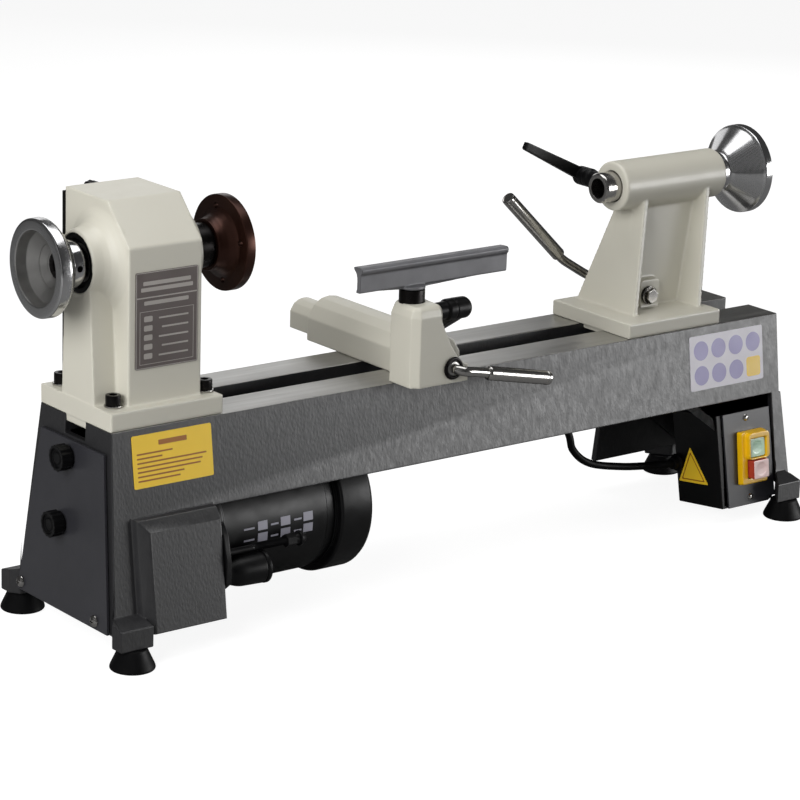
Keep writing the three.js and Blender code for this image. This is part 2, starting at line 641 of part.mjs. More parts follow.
function switchBox() {
  const { height, depth } = SWITCH;
  const shell = leaning([SHELL_LEFT, PLATE_EDGES[1]], [2.3, depth]);
  const inside = box([1.5, PLATE_EDGES[1] - 3], [0, depth - 3], [3, height - 3]);
  const entry = bar("x", [0, depth - 14, 34], -15, 10, 4.6, 14);
  return cut(shell, inside, entry);
}
const footRoom = () => bar("z", [FEET[2].x, -FOOT_Y, 0], 0, LUG_Z[0] + 0.5, 14.6, 16);
piece("switch_box", "black_paint", cut(onSwitch(switchBox()), footRoom()));

const LOWER_SCREW = [31.3, 7.2]; // across and up the plate
const UPPER_SCREW = [28.6, 82];

function switchPlate() {
  const window = box([20, 46], [-5, 10], [23, 66.5]);
  const holes = [LOWER_SCREW, UPPER_SCREW].map(([x, z]) => bar("y", [x, 0, z], -5, 10, 2.1, 12));
  return cut(leaning(PLATE_EDGES, [0, 2]), window, ...holes);
}
piece("switch_plate", "grey_sheet", cut(onSwitch(switchPlate()), footRoom()));

function plateScrew([x, z]) {
  const profile = [[-1.9, 0], [-1.6, 2], [-0.3, 3.2], [-0.3, 1.8], [6, 1.8], [6, 0]];
  return onSwitch(turned("y", [x, 0, z], profile, 12));
}
piece("switch_plate_screw_lower", "polished_steel", plateScrew(LOWER_SCREW));
piece("switch_plate_screw_upper", "polished_steel", plateScrew(UPPER_SCREW));

const START = { x: [24.2, 42.4], z: [46, 63], top: -9.6 };
const STOP = { x: [24.2, 42.8], z: [26.2, 43.2], top: -14.2 };

function switchHousing() {
  const frame = hull([
    [16.2, -0.3, 20], [48.3, -0.3, 20], [48.3, -0.3, 70], [16.2, -0.3, 70],
    [16.8, -6.5, 20.8], [47.8, -6.5, 20.8], [47.8, -6.5, 69.4], [16.8, -6.5, 69.4],
  ]);
  const hood = hull([
    [20.6, -5, 43.6], [20.6, -5, 69.4], [47.8, -5, 69.4], [47.8, -5, 43.6],
    [21.4, -11.4, 44], [21.4, -11.4, 68.6], [47, -11.4, 68.6], [47, -11.4, 44],
  ]);
  const wells = [START, STOP].map(({ x: [x0, x1], z: [z0, z1] }) =>
    box([x0 - 0.5, x1 + 0.5], [-30, 5], [z0 - 0.5, z1 + 0.5]));
  return cut(join(frame, hood), ...wells);
}
piece("switch_housing", "yellow_plastic", onSwitch(switchHousing()));

for (const [name, finish, { x, z, top }] of [
  ["start_button", "green_plastic", START],
  ["stop_button", "red_plastic", STOP],
]) {
  const cap = hull([
    ...[z[0], z[1]].flatMap((h) => x.map((w) => [w, top + 1, h])),
    ...[z[0] + 0.8, z[1] - 0.8].flatMap((h) => [x[0] + 0.8, x[1] - 0.8].map((w) => [w, top, h])),
    ...[z[0], z[1]].flatMap((h) => x.map((w) => [w, 6, h])),
  ]);
  piece(name, finish, onSwitch(cap));
}

const CABLE_PATH = [
  [256.4, 20, 118], [264, 20, 118], [290, 34, 142], [330, 41, 150], [440, 41, 150], [500, 32, 138],
  [528, 10, 92], [536, 7, 70], [557, 7, 54], [595, 5, 45], [627, -3, 43], [640, -11, 44.5],
  [650.2, -11, 44.5],
];
piece("motor_cable", "rubber", rod(CABLE_PATH, 3.5, 26));

// ---------------------------------------------------------------- banjo

const CLAMP_TOP = WAYS_Z - SLAB - GAP;
const EYE_RADIUS = 12.4;

/** A clamp plate that spans the slot from below, with a pad that keeps it straight. */
function clampPlate(x) {
  const plate = box([x - 24, x + 24], [-30, 30], [CLAMP_TOP - 9, CLAMP_TOP]);
  const padHalf = SLOT_HALF - 0.8;
  const pad = box([x - 20, x + 20], [-padHalf, padHalf], [CLAMP_TOP - 1, CLAMP_TOP + 5]);
  return cut(join(plate, pad), bar("z", [x, 0, 0], CLAMP_TOP - 15, CLAMP_TOP + 15, 6.5, 20));
}

function clampBolt(x, z, bore) {
  const shank = bar("z", [x, 0, 0], CLAMP_TOP - 22, z - 8, 6, 20);
  const eye = bar("y", [x, 0, z], -9, 9, EYE_RADIUS, 24);
  return cut(join(shank, eye), bar("y", [x, 0, z], -15, 15, bore, 24));
}

const clampNut = (x) => hexagon("z", [x, 0, 0], CLAMP_TOP - 19, CLAMP_TOP - 9.3, 19);
const nutThread = bar("z", [BANJO_X, 0, 0], CLAMP_TOP - 30, CLAMP_TOP, 6.2, 20);

piece("banjo_clamp_plate", "cast_grey", clampPlate(BANJO_X));
piece("banjo_clamp_bolt", "machined_steel", clampBolt(BANJO_X, CAM_Z, 7.6));
piece("banjo_clamp_nut", "black_oxide", cut(clampNut(BANJO_X), nutThread));

const BANJO_BASE = WAYS_Z + GAP;
const BANJO_FRONT = -81;
const BANJO_STEP = 95; // where the arm steps down to its smaller end
const BANJO_END = 132;

/** Half the arm's outline above the ways, mirrored about the arm's middle. */
function armOutline(points) {
  const right = points.map(([w, h]) => [BANJO_X + w, BANJO_BASE + h]);
  const left = [...points].reverse().map(([w, h]) => [BANJO_X - w, BANJO_BASE + h]);
  return [...right, ...left];
}

/** The foot in front of the bed: a block under the post that spreads to the right over the cam rod. */
function banjoFoot() {
  const z = (h) => BANJO_BASE + h;
  const column = hull([
    [279, -75, z(0)], [285, BANJO_FRONT, z(0)], [335, BANJO_FRONT, z(0)], [339, -77, z(0)],
    [339, -48, z(0)], [279, -48, z(0)], [292, -38, z(0)],
    [279, -75, z(13)], [285, BANJO_FRONT, z(13)], [335, BANJO_FRONT, z(13)], [339, -77, z(13)],
    [339, -48, z(13)], [279, -48, z(13)],
  ]);
  const tower = hull([
    [279, -73, z(60)], [284, -78, z(60)], [309, -78, z(60)], [313, -73, z(60)],
    [279, -49, z(60)], [313, -49, z(60)], [288, -40, z(60)], [306, -40, z(60)],
    [283, -69, z(68)], [287, -73, z(68)], [305, -73, z(68)], [309, -68, z(68)],
    [283, -50, z(69)], [309, -50, z(69)], [288, -43, z(69)], [304, -43, z(69)],
    [279, -75, z(8)], [285, BANJO_FRONT, z(8)], [313, BANJO_FRONT, z(8)], [313, -42, z(8)], [288, -38, z(8)],
  ]);
  const flare = [];
  const reach = 339 - 312;
  for (let i = 0; i < 6; i += 1) {
    const [a, b] = [i / 6, (i + 1) / 6].map((t) => [312 + reach * t, z(13 + 34 * (1 - t) ** 2.2)]);
    flare.push(hull([-79, -44].flatMap((y) => [
      [a[0] - 1, y, z(5)], [b[0], y, z(5)], [a[0] - 1, y, a[1]], [b[0], y, b[1]],
    ])));
  }
  return [column, tower, ...flare];
}

function banjo() {
  const section = armOutline([[23, 0], [23, 21], [15, 32.5], [5, 37.5]]);
  const small = armOutline([[15, 2], [15, 18], [8, 26], [3, 27.5]]);
  const body = join(
    extruded("y", section, -60, BANJO_STEP),
    extruded("y", small, BANJO_STEP - 2, BANJO_END),
    ...banjoFoot(),
  );
  const hollow = extruded("y", armOutline([[16.5, -5], [16.5, 20], [10, 30], [4, 32]]), -34, BANJO_STEP - 8);
  const post = bar("z", [POST_X, POST_Y, 0], WAYS_Z + 4, WAYS_Z + 90, POST_RADIUS + GAP, 32);
  const cam = bar("y", [BANJO_X, 0, CAM_Z], BANJO_FRONT - 5, BANJO_END - 8, 7.4, 24);
  const lock = bar("x", [0, POST_Y, LOCK_Z], POST_X + 5, 330, 4.4, 16);
  return cut(body, hollow, post, cam, lock);
}
const LOCK_Z = WAYS_Z + 56.5;
piece("banjo", "cream_paint", banjo());

function camRod() {
  const place = [BANJO_X, 0, CAM_Z];
  return join(
    bar("y", place, BANJO_FRONT + 4, BANJO_END - 10, 7, 24),
    turned("y", place, [[BANJO_FRONT - 3, 0], [BANJO_FRONT - 3, 7.5], [BANJO_FRONT - 0.4, 9.6],
      [BANJO_FRONT - 0.4, 7], [BANJO_FRONT + 5, 7], [BANJO_FRONT + 5, 0]], 28),
  );
}
piece("banjo_cam_rod", "machined_steel", camRod());

/** A bent lever: a thin neck out of the end of its shaft, and a thicker straight grip. */
function lever(neck, [start, end], neckRadius, gripRadius) {
  const a = new THREE.Vector3(...start);
  const b = new THREE.Vector3(...end);
  const length = a.distanceTo(b);
  const profile = [[0, 0], [0, gripRadius - 0.6], [0.8, gripRadius], [length - 0.8, gripRadius],
    [length, gripRadius - 0.8], [length, 0]];
  const turn = new THREE.Quaternion().setFromUnitVectors(
    new THREE.Vector3(0, 0, 1),
    b.clone().sub(a).normalize(),
  );
  const grip = turned("z", [0, 0, 0], profile, 12).applyQuaternion(turn).translate(...start);
  return join(rod(neck, neckRadius, 12), grip);
}

const LEVER_Y = BANJO_FRONT - 12;
const BANJO_NECK = [
  [BANJO_X, BANJO_FRONT - 3.3, CAM_Z], [BANJO_X, BANJO_FRONT - 7, CAM_Z],
  [BANJO_X + 5, LEVER_Y + 0.5, CAM_Z - 1], [BANJO_X + 16, LEVER_Y, CAM_Z - 4],
  [BANJO_X + 32, LEVER_Y, CAM_Z - 8.6],
];
const BANJO_GRIP = [[BANJO_X + 28, LEVER_Y, CAM_Z - 7.8], [BANJO_X + 97, LEVER_Y, CAM_Z - 21]];
piece("banjo_lever", "polished_steel", lever(BANJO_NECK, BANJO_GRIP, 4.2, 6.3));

// ---------------------------------------------------------------- tool rest

const REST_Z = [WAYS_Z + 81.5, WAYS_Z + 105];
const REST_X = [238, 394];
const REST_Y = POST_Y + 8; // back of the blade's lip

function toolRestPost() {
  return bar("z", [POST_X, POST_Y, 0], WAYS_Z + 12, REST_Z[0] + 1.7, POST_RADIUS, 24);
}
piece("tool_rest_post", "cast_grey", toolRestPost());

/** The blade: a leaning plate with a concave front, a rounded lip, and a rib over the post. */
function toolRest() {
  const outline = [];
  const [low, high] = REST_Z;
  for (let i = 0; i <= 6; i += 1) {
    const t = i / 6;
    outline.push([REST_Y - 20 + 14 * t + 5 * Math.sin(Math.PI * t), low + 2 + (high - low - 7) * t]);
  }
  outline.push([REST_Y - 7.5, high - 4], [REST_Y - 7, high - 1.5], [REST_Y - 5, high], [REST_Y - 2, high]);
  outline.push([REST_Y, high - 2], [REST_Y, high - 5], [REST_Y - 4, high - 9], [REST_Y - 5, low + 8]);
  outline.push([REST_Y - 11, low + 2], [REST_Y - 16, low + 2]);
  const blade = extruded("x", outline, ...REST_X);
  const rib = hull([
    [REST_X[0] + 22, REST_Y - 12, low + 3], [REST_X[1] - 60, REST_Y - 12, low + 3],
    [REST_X[0] + 22, REST_Y - 6, low + 3], [REST_X[1] - 60, REST_Y - 6, low + 3],
    [POST_X - 12, POST_Y - 11, low + 4], [POST_X + 12, POST_Y - 11, low + 4],
    [POST_X - 12, POST_Y + 11, low + 4], [POST_X + 12, POST_Y + 11, low + 4],
    [POST_X - 12, REST_Y - 5, low + 12], [POST_X + 12, REST_Y - 5, low + 12],
  ]);
  return join(blade, rib);
}
piece("tool_rest", "cast_grey", toolRest());

/** A ratchet lever: a threaded stud, a hub, and a flat tapering arm. */
function ratchet(axis, place, { stud, neck, hub, radius, arm }) {
  const [from, to] = hub;
  const profile = [
    [stud, 0], [stud, 4], [neck, 4], [neck, radius * 0.78], [from, radius * 0.8],
    [from + 1, radius], [to - 2, radius], [to, radius - 2.5], [to, 0],
  ];
  return join(turned(axis, place, profile, 16), arm);
}

function restLock() {
  const dir = [Math.cos(-0.6), Math.sin(-0.6)];
  const arm = [];
  for (const [t, w, x0, x1] of [[0, 7, 344, 355], [58, 5, 348, 356]])
    for (const s of [-1, 1]) for (const x of [x0, x1])
      arm.push([x, POST_Y + dir[0] * t - s * dir[1] * w, LOCK_Z + dir[1] * t + s * dir[0] * w]);
  return ratchet("x", [0, POST_Y, LOCK_Z], {
    stud: POST_X + 11.6, neck: 317, hub: [330, 356], radius: 9.4, arm: hull(arm),
  });
}
piece("tool_rest_lock", "black_plastic", restLock());

// ---------------------------------------------------------------- tailstock

const BASE_TOP = WAYS_Z + GAP + 13.2;
const RIB_LEAN = 19; // how far a rib's top is to the right of its foot
const RIBS = [
  { x: [566.5, 571.5], foot: [-32, 47.5], top: [-18.5, 11] },
  { x: [638.5, 643.5], foot: [-37.5, 47.5], top: [-20.5, 11] },
];

function ribPlate({ x: xs, foot, top }) {
  const points = xs.flatMap((x) => [
    ...foot.map((y) => [x, y, BASE_TOP - 2]), ...top.map((y) => [x + RIB_LEAN, y, AXIS_Z - 4]),
  ]);
  return hull(points);
}

function tailstock() {
  const slotKey = box([548, 648], [GAP - SLOT_HALF, SLOT_HALF - GAP], [WAYS_Z - 5, WAYS_Z + 3]);
  const body = join(
    box([543.5, 653], [-WAYS_HALF, WAYS_HALF], [WAYS_Z + GAP, BASE_TOP]),
    slotKey,
    ...RIBS.map(ribPlate),
    frustum([AXIS_Z, [584, 660], [-6, 9]], [BASE_TOP - 2, [568, 642], [-9, 22]]),
    box([589, 612], [-14.5, 5], [BASE_TOP - 1, WAYS_Z + 39]),
    bar("x", [0, 0, AXIS_Z], BARREL_X, BARREL_RIGHT, BARREL_RADIUS, 28),
  );
  const cavity = box([TAIL_X - 15, TAIL_X + 15], [-11.5, 11.5], [WAYS_Z - 10, TAIL_CAM_Z + 15]);
  const quillBore = bar("x", [0, 0, AXIS_Z], BARREL_X - 5, 672, QUILL_RADIUS + 0.5, 22);
  const screwBore = bar("x", [0, 0, AXIS_Z], 660, BARREL_RIGHT + 5, 8.3, 20);
  const shaft = bar("y", [TAIL_X, 0, TAIL_CAM_Z], -30, 50, 7.4, 24);
  const lock = bar("y", [568, 0, AXIS_Z], 10, 30, 4.4, 16);
  return cut(body, cavity, quillBore, screwBore, shaft, lock);
}
piece("tailstock", "cream_paint", tailstock());

piece("tailstock_clamp_plate", "cast_grey", clampPlate(TAIL_X));
piece("tailstock_clamp_bolt", "machined_steel", join(clampBolt(TAIL_X, TAIL_CAM_Z, 9.4), clampNut(TAIL_X)));

function tailCam() {
  const place = [TAIL_X, 0, TAIL_CAM_Z];
  return join(bar("y", place, -19, 59, 7, 24), hexagon("y", place, -22, -18, 11));
}
piece("tailstock_cam_shaft", "polished_steel", tailCam());

const TAIL_NECK = [
  [TAIL_X, 59.9, TAIL_CAM_Z], [TAIL_X, 62.5, TAIL_CAM_Z], [TAIL_X - 7, 66.5, TAIL_CAM_Z + 4],
  [TAIL_X - 22, 67, TAIL_CAM_Z + 13], [TAIL_X - 33, 67, TAIL_CAM_Z + 20], [TAIL_X - 44, 67, TAIL_CAM_Z + 30],
];
const TAIL_GRIP = [[TAIL_X - 37, 67, TAIL_CAM_Z + 24], [TAIL_X - 101, 67, TAIL_CAM_Z + 85]];
piece("tailstock_lever", "polished_steel", lever(TAIL_NECK, TAIL_GRIP, 4.2, 6.3));

function quill() {
  const outside = [[QUILL_X, 9], [QUILL_X, 12.6], [QUILL_X + 1, QUILL_RADIUS], [657, QUILL_RADIUS]];
  const inside = [[657, 5.9], [602, 5.9], [602, 7.2], [QUILL_X, 8.9]];
  return turned("x", [0, 0, AXIS_Z], [...outside, ...inside, [QUILL_X, 9]], 22);
}
piece("quill", "polished_steel", quill());

function quillScrew() {
  const thread = [[606, 0], [606, 5.4], [673, 5.4]];
  const journal = [[673, 8], [681.2, 8], [681.2, 6.6], [714, 6.6], [714, 0]];
  return turned("x", [0, 0, AXIS_Z], [...thread, ...journal], 20);
}
piece("quill_screw", "machined_steel", quillScrew());

function tailHandwheel() {
  const hub = [[681.6, 6.9], [681.6, 15.5], [683, 17], [690, 17], [692, 19]];
  const cone = [[697, 25.5], [712, 38], [713.7, 40], [714.5, 40.5]];
  const rim = [[720.6, 40.5], [721.5, 39], [721.5, 36.5], [720.5, 35]];
  const front = [[716, 31], [713, 14], [713, 6.9], [681.6, 6.9]];
  return turned("x", [0, 0, AXIS_Z], [...hub, ...cone, ...rim, ...front], 26);
}
piece("tail_handwheel", "alloy", tailHandwheel());

function quillLock() {
  const arm = [];
  const dir = [-Math.cos(0.457), Math.sin(0.457)];
  for (const [t, w, y0, y1] of [[0, 5.6, 46, 54.5], [72, 3.7, 49.5, 54.5]])
    for (const s of [-1, 1]) for (const y of [y0, y1])
      arm.push([566 + dir[0] * t - s * dir[1] * w, y, 316 + dir[1] * t + s * dir[0] * w]);
  return ratchet("y", [568, 0, AXIS_Z], {
    stud: QUILL_RADIUS + 0.7, neck: 23, hub: [35, 55], radius: 8.6, arm: hull(arm),
  });
}
piece("quill_lock_lever", "black_plastic", quillLock());

// ---------------------------------------------------------------- the part's own frame

const whole = new THREE.Box3().setFromObject(lathe);
const middle = whole.getCenter(new THREE.Vector3());
lathe.position.set(-middle.x, -middle.y, -whole.min.z);

export default lathe;
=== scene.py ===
"""A bench-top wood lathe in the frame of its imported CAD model.

Shapes are drawn in millimetres. X is counted from the bed's left end, Y from the plane through the spindle
and Z from the bench, and every piece is moved into the row frame, in metres, when it is made.
"""
import json
from math import asin, atan, cos, hypot, pi, radians, sin

import bmesh
import bpy
from mathutils import Matrix, Vector

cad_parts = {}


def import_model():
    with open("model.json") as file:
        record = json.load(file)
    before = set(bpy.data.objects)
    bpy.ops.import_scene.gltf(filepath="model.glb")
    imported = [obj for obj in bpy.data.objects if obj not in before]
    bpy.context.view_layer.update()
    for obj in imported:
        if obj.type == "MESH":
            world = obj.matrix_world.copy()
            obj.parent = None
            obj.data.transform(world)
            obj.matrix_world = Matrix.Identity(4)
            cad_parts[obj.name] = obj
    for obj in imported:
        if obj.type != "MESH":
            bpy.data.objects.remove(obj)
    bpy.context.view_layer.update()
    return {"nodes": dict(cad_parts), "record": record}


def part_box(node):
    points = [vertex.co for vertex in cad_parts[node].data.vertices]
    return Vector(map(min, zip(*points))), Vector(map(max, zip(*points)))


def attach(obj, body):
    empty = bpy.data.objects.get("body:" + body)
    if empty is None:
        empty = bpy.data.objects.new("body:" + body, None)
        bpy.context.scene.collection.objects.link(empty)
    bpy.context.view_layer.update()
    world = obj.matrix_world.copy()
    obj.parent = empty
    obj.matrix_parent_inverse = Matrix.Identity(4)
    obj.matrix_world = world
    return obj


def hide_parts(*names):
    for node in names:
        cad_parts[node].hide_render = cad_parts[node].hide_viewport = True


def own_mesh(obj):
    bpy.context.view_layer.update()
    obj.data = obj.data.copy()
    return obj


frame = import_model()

NODES = frame["nodes"]
RECORD = frame["record"]
BODY_OF = {node: body for body, nodes in RECORD["behaviour"]["bodies"].items() for node in nodes}
SLOT_OF = {part["node"]: part["material_slot"] for part in RECORD["subparts"]}

MM = 0.001
BED_CORNER = Vector((-15, -92, 17.5))  # the bed's lowest corner
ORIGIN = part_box("bed")[0] - BED_CORNER * MM
TO_FRAME = Matrix.Translation(ORIGIN) @ Matrix.Scale(MM, 4)
FROM_FRAME = TO_FRAME.inverted()

WAYS_Z = 186.9  # the top of the ways
WAYS_HALF = 52.9  # half the bed's width there
SIDE_SLOPE, END_SLOPE = 0.13, 0.058  # how the bed's sides and ends lean out, per mm down
GUIDE_HALF = 14.7  # half the width of the tongues between the ways
AXIS_Z = 313.9
AXIS = (0, 0, AXIS_Z)
MOTOR_Z = 80.4
FLANGE_Z = 202.75  # the top of the headstock's foot
HEAD_LEFT, HEAD_RIGHT, HEAD_TOP = 22, 91.3, 363.9
FRONT_Y, BACK_Y = -43.1, 51.1  # the headstock's front and back
DOOR_KNOB = (54, 0, 354.5)
GAP = 0.3  # between a part and what it stands on


def half(z):
    """Half the width of the bed at a height."""
    return WAYS_HALF + SIDE_SLOPE * (WAYS_Z - z)


# ---- shapes

AXES = {"x": Vector((1, 0, 0)), "y": Vector((0, 1, 0)), "z": Vector((0, 0, 1))}
PLACE = {
    "x": lambda t, a, b: (t, a, b),
    "y": lambda t, a, b: (a, t, b),
    "z": lambda t, a, b: (a, b, t),
}


def rounded(outline, radius=0.5, steps=3, turned=True):
    """A closed outline with its corners rounded. A point's third number is its own radius."""
    result = []
    for i, point in enumerate(outline):
        corner = Vector(point[:2])
        reach = point[2] if len(point) > 2 else radius
        before = Vector(outline[i - 1][:2]) - corner
        after = Vector(outline[(i + 1) % len(outline)][:2]) - corner
        reach = min(reach, 0.45 * before.length, 0.45 * after.length)
        if reach < 1e-3 or (turned and corner.y < 1e-6):
            result.append(corner)
            continue
        start = corner + before.normalized() * reach
        end = corner + after.normalized() * reach
        for step in range(steps + 1):
            t = step / steps
            result.append(start * (1 - t) ** 2 + corner * (2 * t * (1 - t)) + end * t * t)
    return result


def revolve(profile, axis="x", centre=AXIS, segments=96):
    """A closed profile of (distance along the axis, radius), turned about the axis."""
    direction = AXES[axis] if isinstance(axis, str) else Vector(axis).normalized()
    turn = AXES["z"].rotation_difference(direction).to_matrix()
    centre = Vector(centre)
    bm = bmesh.new()
    rings = []
    for distance, radius in profile:
        count = 1 if radius < 1e-6 else segments
        ring = []
        for k in range(count):
            angle = 2 * pi * k / segments
            spot = Vector((radius * cos(angle), radius * sin(angle), distance))
            ring.append(bm.verts.new(turn @ spot + centre))
        rings.append(ring)
    for i, one in enumerate(rings):
        two = rings[(i + 1) % len(rings)]
        if len(one) == 1 and len(two) == 1:
            continue
        for k in range(segments):
            n = (k + 1) % segments
            corners = [one[k % len(one)], two[k % len(two)], two[n % len(two)], one[n % len(one)]]
            bm.faces.new(list(dict.fromkeys(corners)))
    return bm


def rod(axis, centre, low, high, radius, segments=64, edge=0.5):
    """A round bar with eased edges."""
    profile = [(low, 0), (low, radius), (high, radius), (high, 0)]
    return revolve(rounded(profile, edge), axis, centre, segments)


def prism(outline, axis, low, high):
    """A flat outline pulled along an axis."""
    bm = bmesh.new()
    place = PLACE[axis]
    ends = [[bm.verts.new(place(t, a, b)) for a, b in outline] for t in (low, high)]
    bm.faces.new(ends[0])
    bm.faces.new(reversed(ends[1]))
    for i in range(len(outline)):
        j = (i + 1) % len(outline)
        bm.faces.new((ends[0][i], ends[1][i], ends[1][j], ends[0][j]))
    return bm


def block(xs, ys, zs):
    return prism([(xs[0], ys[0]), (xs[1], ys[0]), (xs[1], ys[1]), (xs[0], ys[1])], "z", *zs)


def hull(points):
    bm = bmesh.new()
    for point in points:
        bm.verts.new(point)
    made = bmesh.ops.convex_hull(bm, input=bm.verts)
    loose = [v for v in made["geom_interior"] if isinstance(v, bmesh.types.BMVert)]
    bmesh.ops.delete(bm, geom=loose, context="VERTS")
    return bm


def levels(*rectangles):
    """A solid between level rectangles, each given as z, (x0, x1), (y0, y1)."""
    return hull([(x, y, z) for z, xs, ys in rectangles for x in xs for y in ys])


def around(radius, degrees, z):
    """A spot on a circle about an axis along X."""
    return 0, radius * cos(radians(degrees)), z + radius * sin(radians(degrees))


def ngon(sides, across, turn=0):
    """A regular outline with a given width across its flats."""
    radius = across / 2 / cos(pi / sides)
    angles = [turn + 2 * pi * i / sides for i in range(sides)]
    return [(radius * cos(a), radius * sin(a)) for a in angles]


def at(start, *points):
    """Profile points counted from a start along their axis."""
    return [(start + along, *rest) for along, *rest in points]


def rectangle(x0, x1, z0, z1, corner, steps):
    """The outline of a rectangle with rounded corners."""
    return rounded([(x0, z0), (x1, z0), (x1, z1), (x0, z1)], corner, steps, turned=False)


def circle(radius, steps):
    angles = [2 * pi * i / steps for i in range(steps)]
    return [(radius * cos(a), radius * sin(a)) for a in angles]


def shifted(outline, a, b):
    return [(x + a, y + b) for x, y in outline]


def curve_through(points, steps):
    """Points along a smooth curve through the given ones."""
    points = [Vector(p) for p in points]
    points = [2 * points[0] - points[1]] + points + [2 * points[-1] - points[-2]]
    spans = len(points) - 3
    result = []
    for i in range(steps + 1):
        place = min(i / steps * spans, spans - 1e-6)
        k = int(place)
        t = place - k
        a, b, c, d = points[k:k + 4]
        result.append(0.5 * (2 * b + (c - a) * t + (2 * a - 5 * b + 4 * c - d) * t * t
                             + (3 * b - a - 3 * c + d) * t ** 3))
    return result


def sweep(points, radius, steps=40, sides=24):
    """A round rod along a smooth curve. The radius is a number or a function of the way along."""
    path = curve_through(points, steps)
    bm = bmesh.new()
    side = None
    rings = []
    for i, centre in enumerate(path):
        ahead = (path[min(i + 1, steps)] - path[max(i - 1, 0)]).normalized()
        if side is None:
            side = ahead.orthogonal().normalized()
        side = (side - ahead * side.dot(ahead)).normalized()
        other = ahead.cross(side)
        size = radius(i / steps) if callable(radius) else radius
        angles = [2 * pi * k / sides for k in range(sides)]
        rings.append([bm.verts.new(centre + size * (side * cos(a) + other * sin(a)))
                      for a in angles])
    bm.faces.new(rings[0])
    bm.faces.new(reversed(rings[-1]))
    for one, two in zip(rings, rings[1:]):
        for k in range(sides):
            n = (k + 1) % sides
            bm.faces.new((one[k], two[k], two[n], one[n]))
    return bm


def assign(thing, **settings):
    """A thing with its settings made, in the order given."""
    for key, value in settings.items():
        setattr(thing, key, value)
    return thing


def outward(shape):
    """A shape with its faces turned outwards."""
    bmesh.ops.recalc_face_normals(shape, faces=shape.faces)
    return shape


def as_mesh(name, shape):
    """The mesh of a shape, which is used up."""
    mesh = bpy.data.meshes.new(name)
    shape.to_mesh(mesh)
    shape.free()
    return mesh


def in_scene(name, data):
    """A new object that is linked to the scene."""
    made = bpy.data.objects.new(name, data)
    bpy.context.scene.collection.objects.link(made)
    return made


def join(*shapes):
    whole = bmesh.new()
    for shape in shapes:
        mesh = as_mesh("joined", outward(shape))
        whole.from_mesh(mesh)
        bpy.data.meshes.remove(mesh)
    return whole


def evaluated(work, *others):
    """The mesh of a work object with its modifiers applied. The objects are removed."""
    depsgraph = bpy.context.evaluated_depsgraph_get()
    mesh = bpy.data.meshes.new_from_object(work.evaluated_get(depsgraph))
    bm = bmesh.new()
    bm.from_mesh(mesh)
    bpy.data.meshes.remove(mesh)
    for o in (work, *others):
        data = o.data
        bpy.data.objects.remove(o)
        bpy.data.meshes.remove(data)
    return bm


def carve(shape, *tools):
    """A shape with others cut out of it, with crisp edges."""
    work, tool = (in_scene("work", as_mesh("work", s)) for s in (outward(shape), join(*tools)))
    assign(work.modifiers.new("cut", "BOOLEAN"), operation="DIFFERENCE", solver="EXACT", use_self=True,
           object=tool)
    return evaluated(work, tool)


def cast(adds, cuts=(), voxel=1, passes=5):
    """Shapes run together and cut, with every edge and corner softened as in a casting or moulding."""
    shape = join(*adds)
    if cuts:
        shape = carve(shape, *cuts)
    work = in_scene("work", as_mesh("work", shape))
    assign(work.modifiers.new("remesh", "REMESH"), mode="VOXEL", voxel_size=voxel)
    assign(work.modifiers.new("smooth", "SMOOTH"), factor=0.5, iterations=passes)
    return evaluated(work)


def cad(node):
    """The shape of a CAD node, with its flat faces made whole."""
    bm = bmesh.new()
    bm.from_mesh(NODES[node].data)
    bm.transform(FROM_FRAME)
    bmesh.ops.remove_doubles(bm, verts=bm.verts, dist=0.003)
    bmesh.ops.dissolve_limit(bm, angle_limit=radians(1.5), verts=bm.verts, edges=bm.edges)
    return bm


def middle_of(node):
    """The X and Y of a CAD node's middle."""
    low, high = (FROM_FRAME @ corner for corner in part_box(node))
    return (low.x + high.x) / 2, (low.y + high.y) / 2


def second_finish(shape, chosen):
    """Gives the faces that pass a test of normal and middle a shape's second finish."""
    for face in shape.faces:
        face.material_index = int(bool(chosen(face.normal, face.calc_center_median())))
    return shape


def moved(shape, move):
    """A shape with a function applied to each of its points."""
    for v in shape.verts:
        v.co = Vector(move(*v.co))
    return shape


# ---- finishes

def linear(code):
    """A hex colour as linear light."""
    parts = [int(code[i:i + 2], 16) / 255 for i in (0, 2, 4)]
    return [p / 12.92 if p <= 0.04045 else ((p + 0.055) / 1.055) ** 2.4 for p in parts]


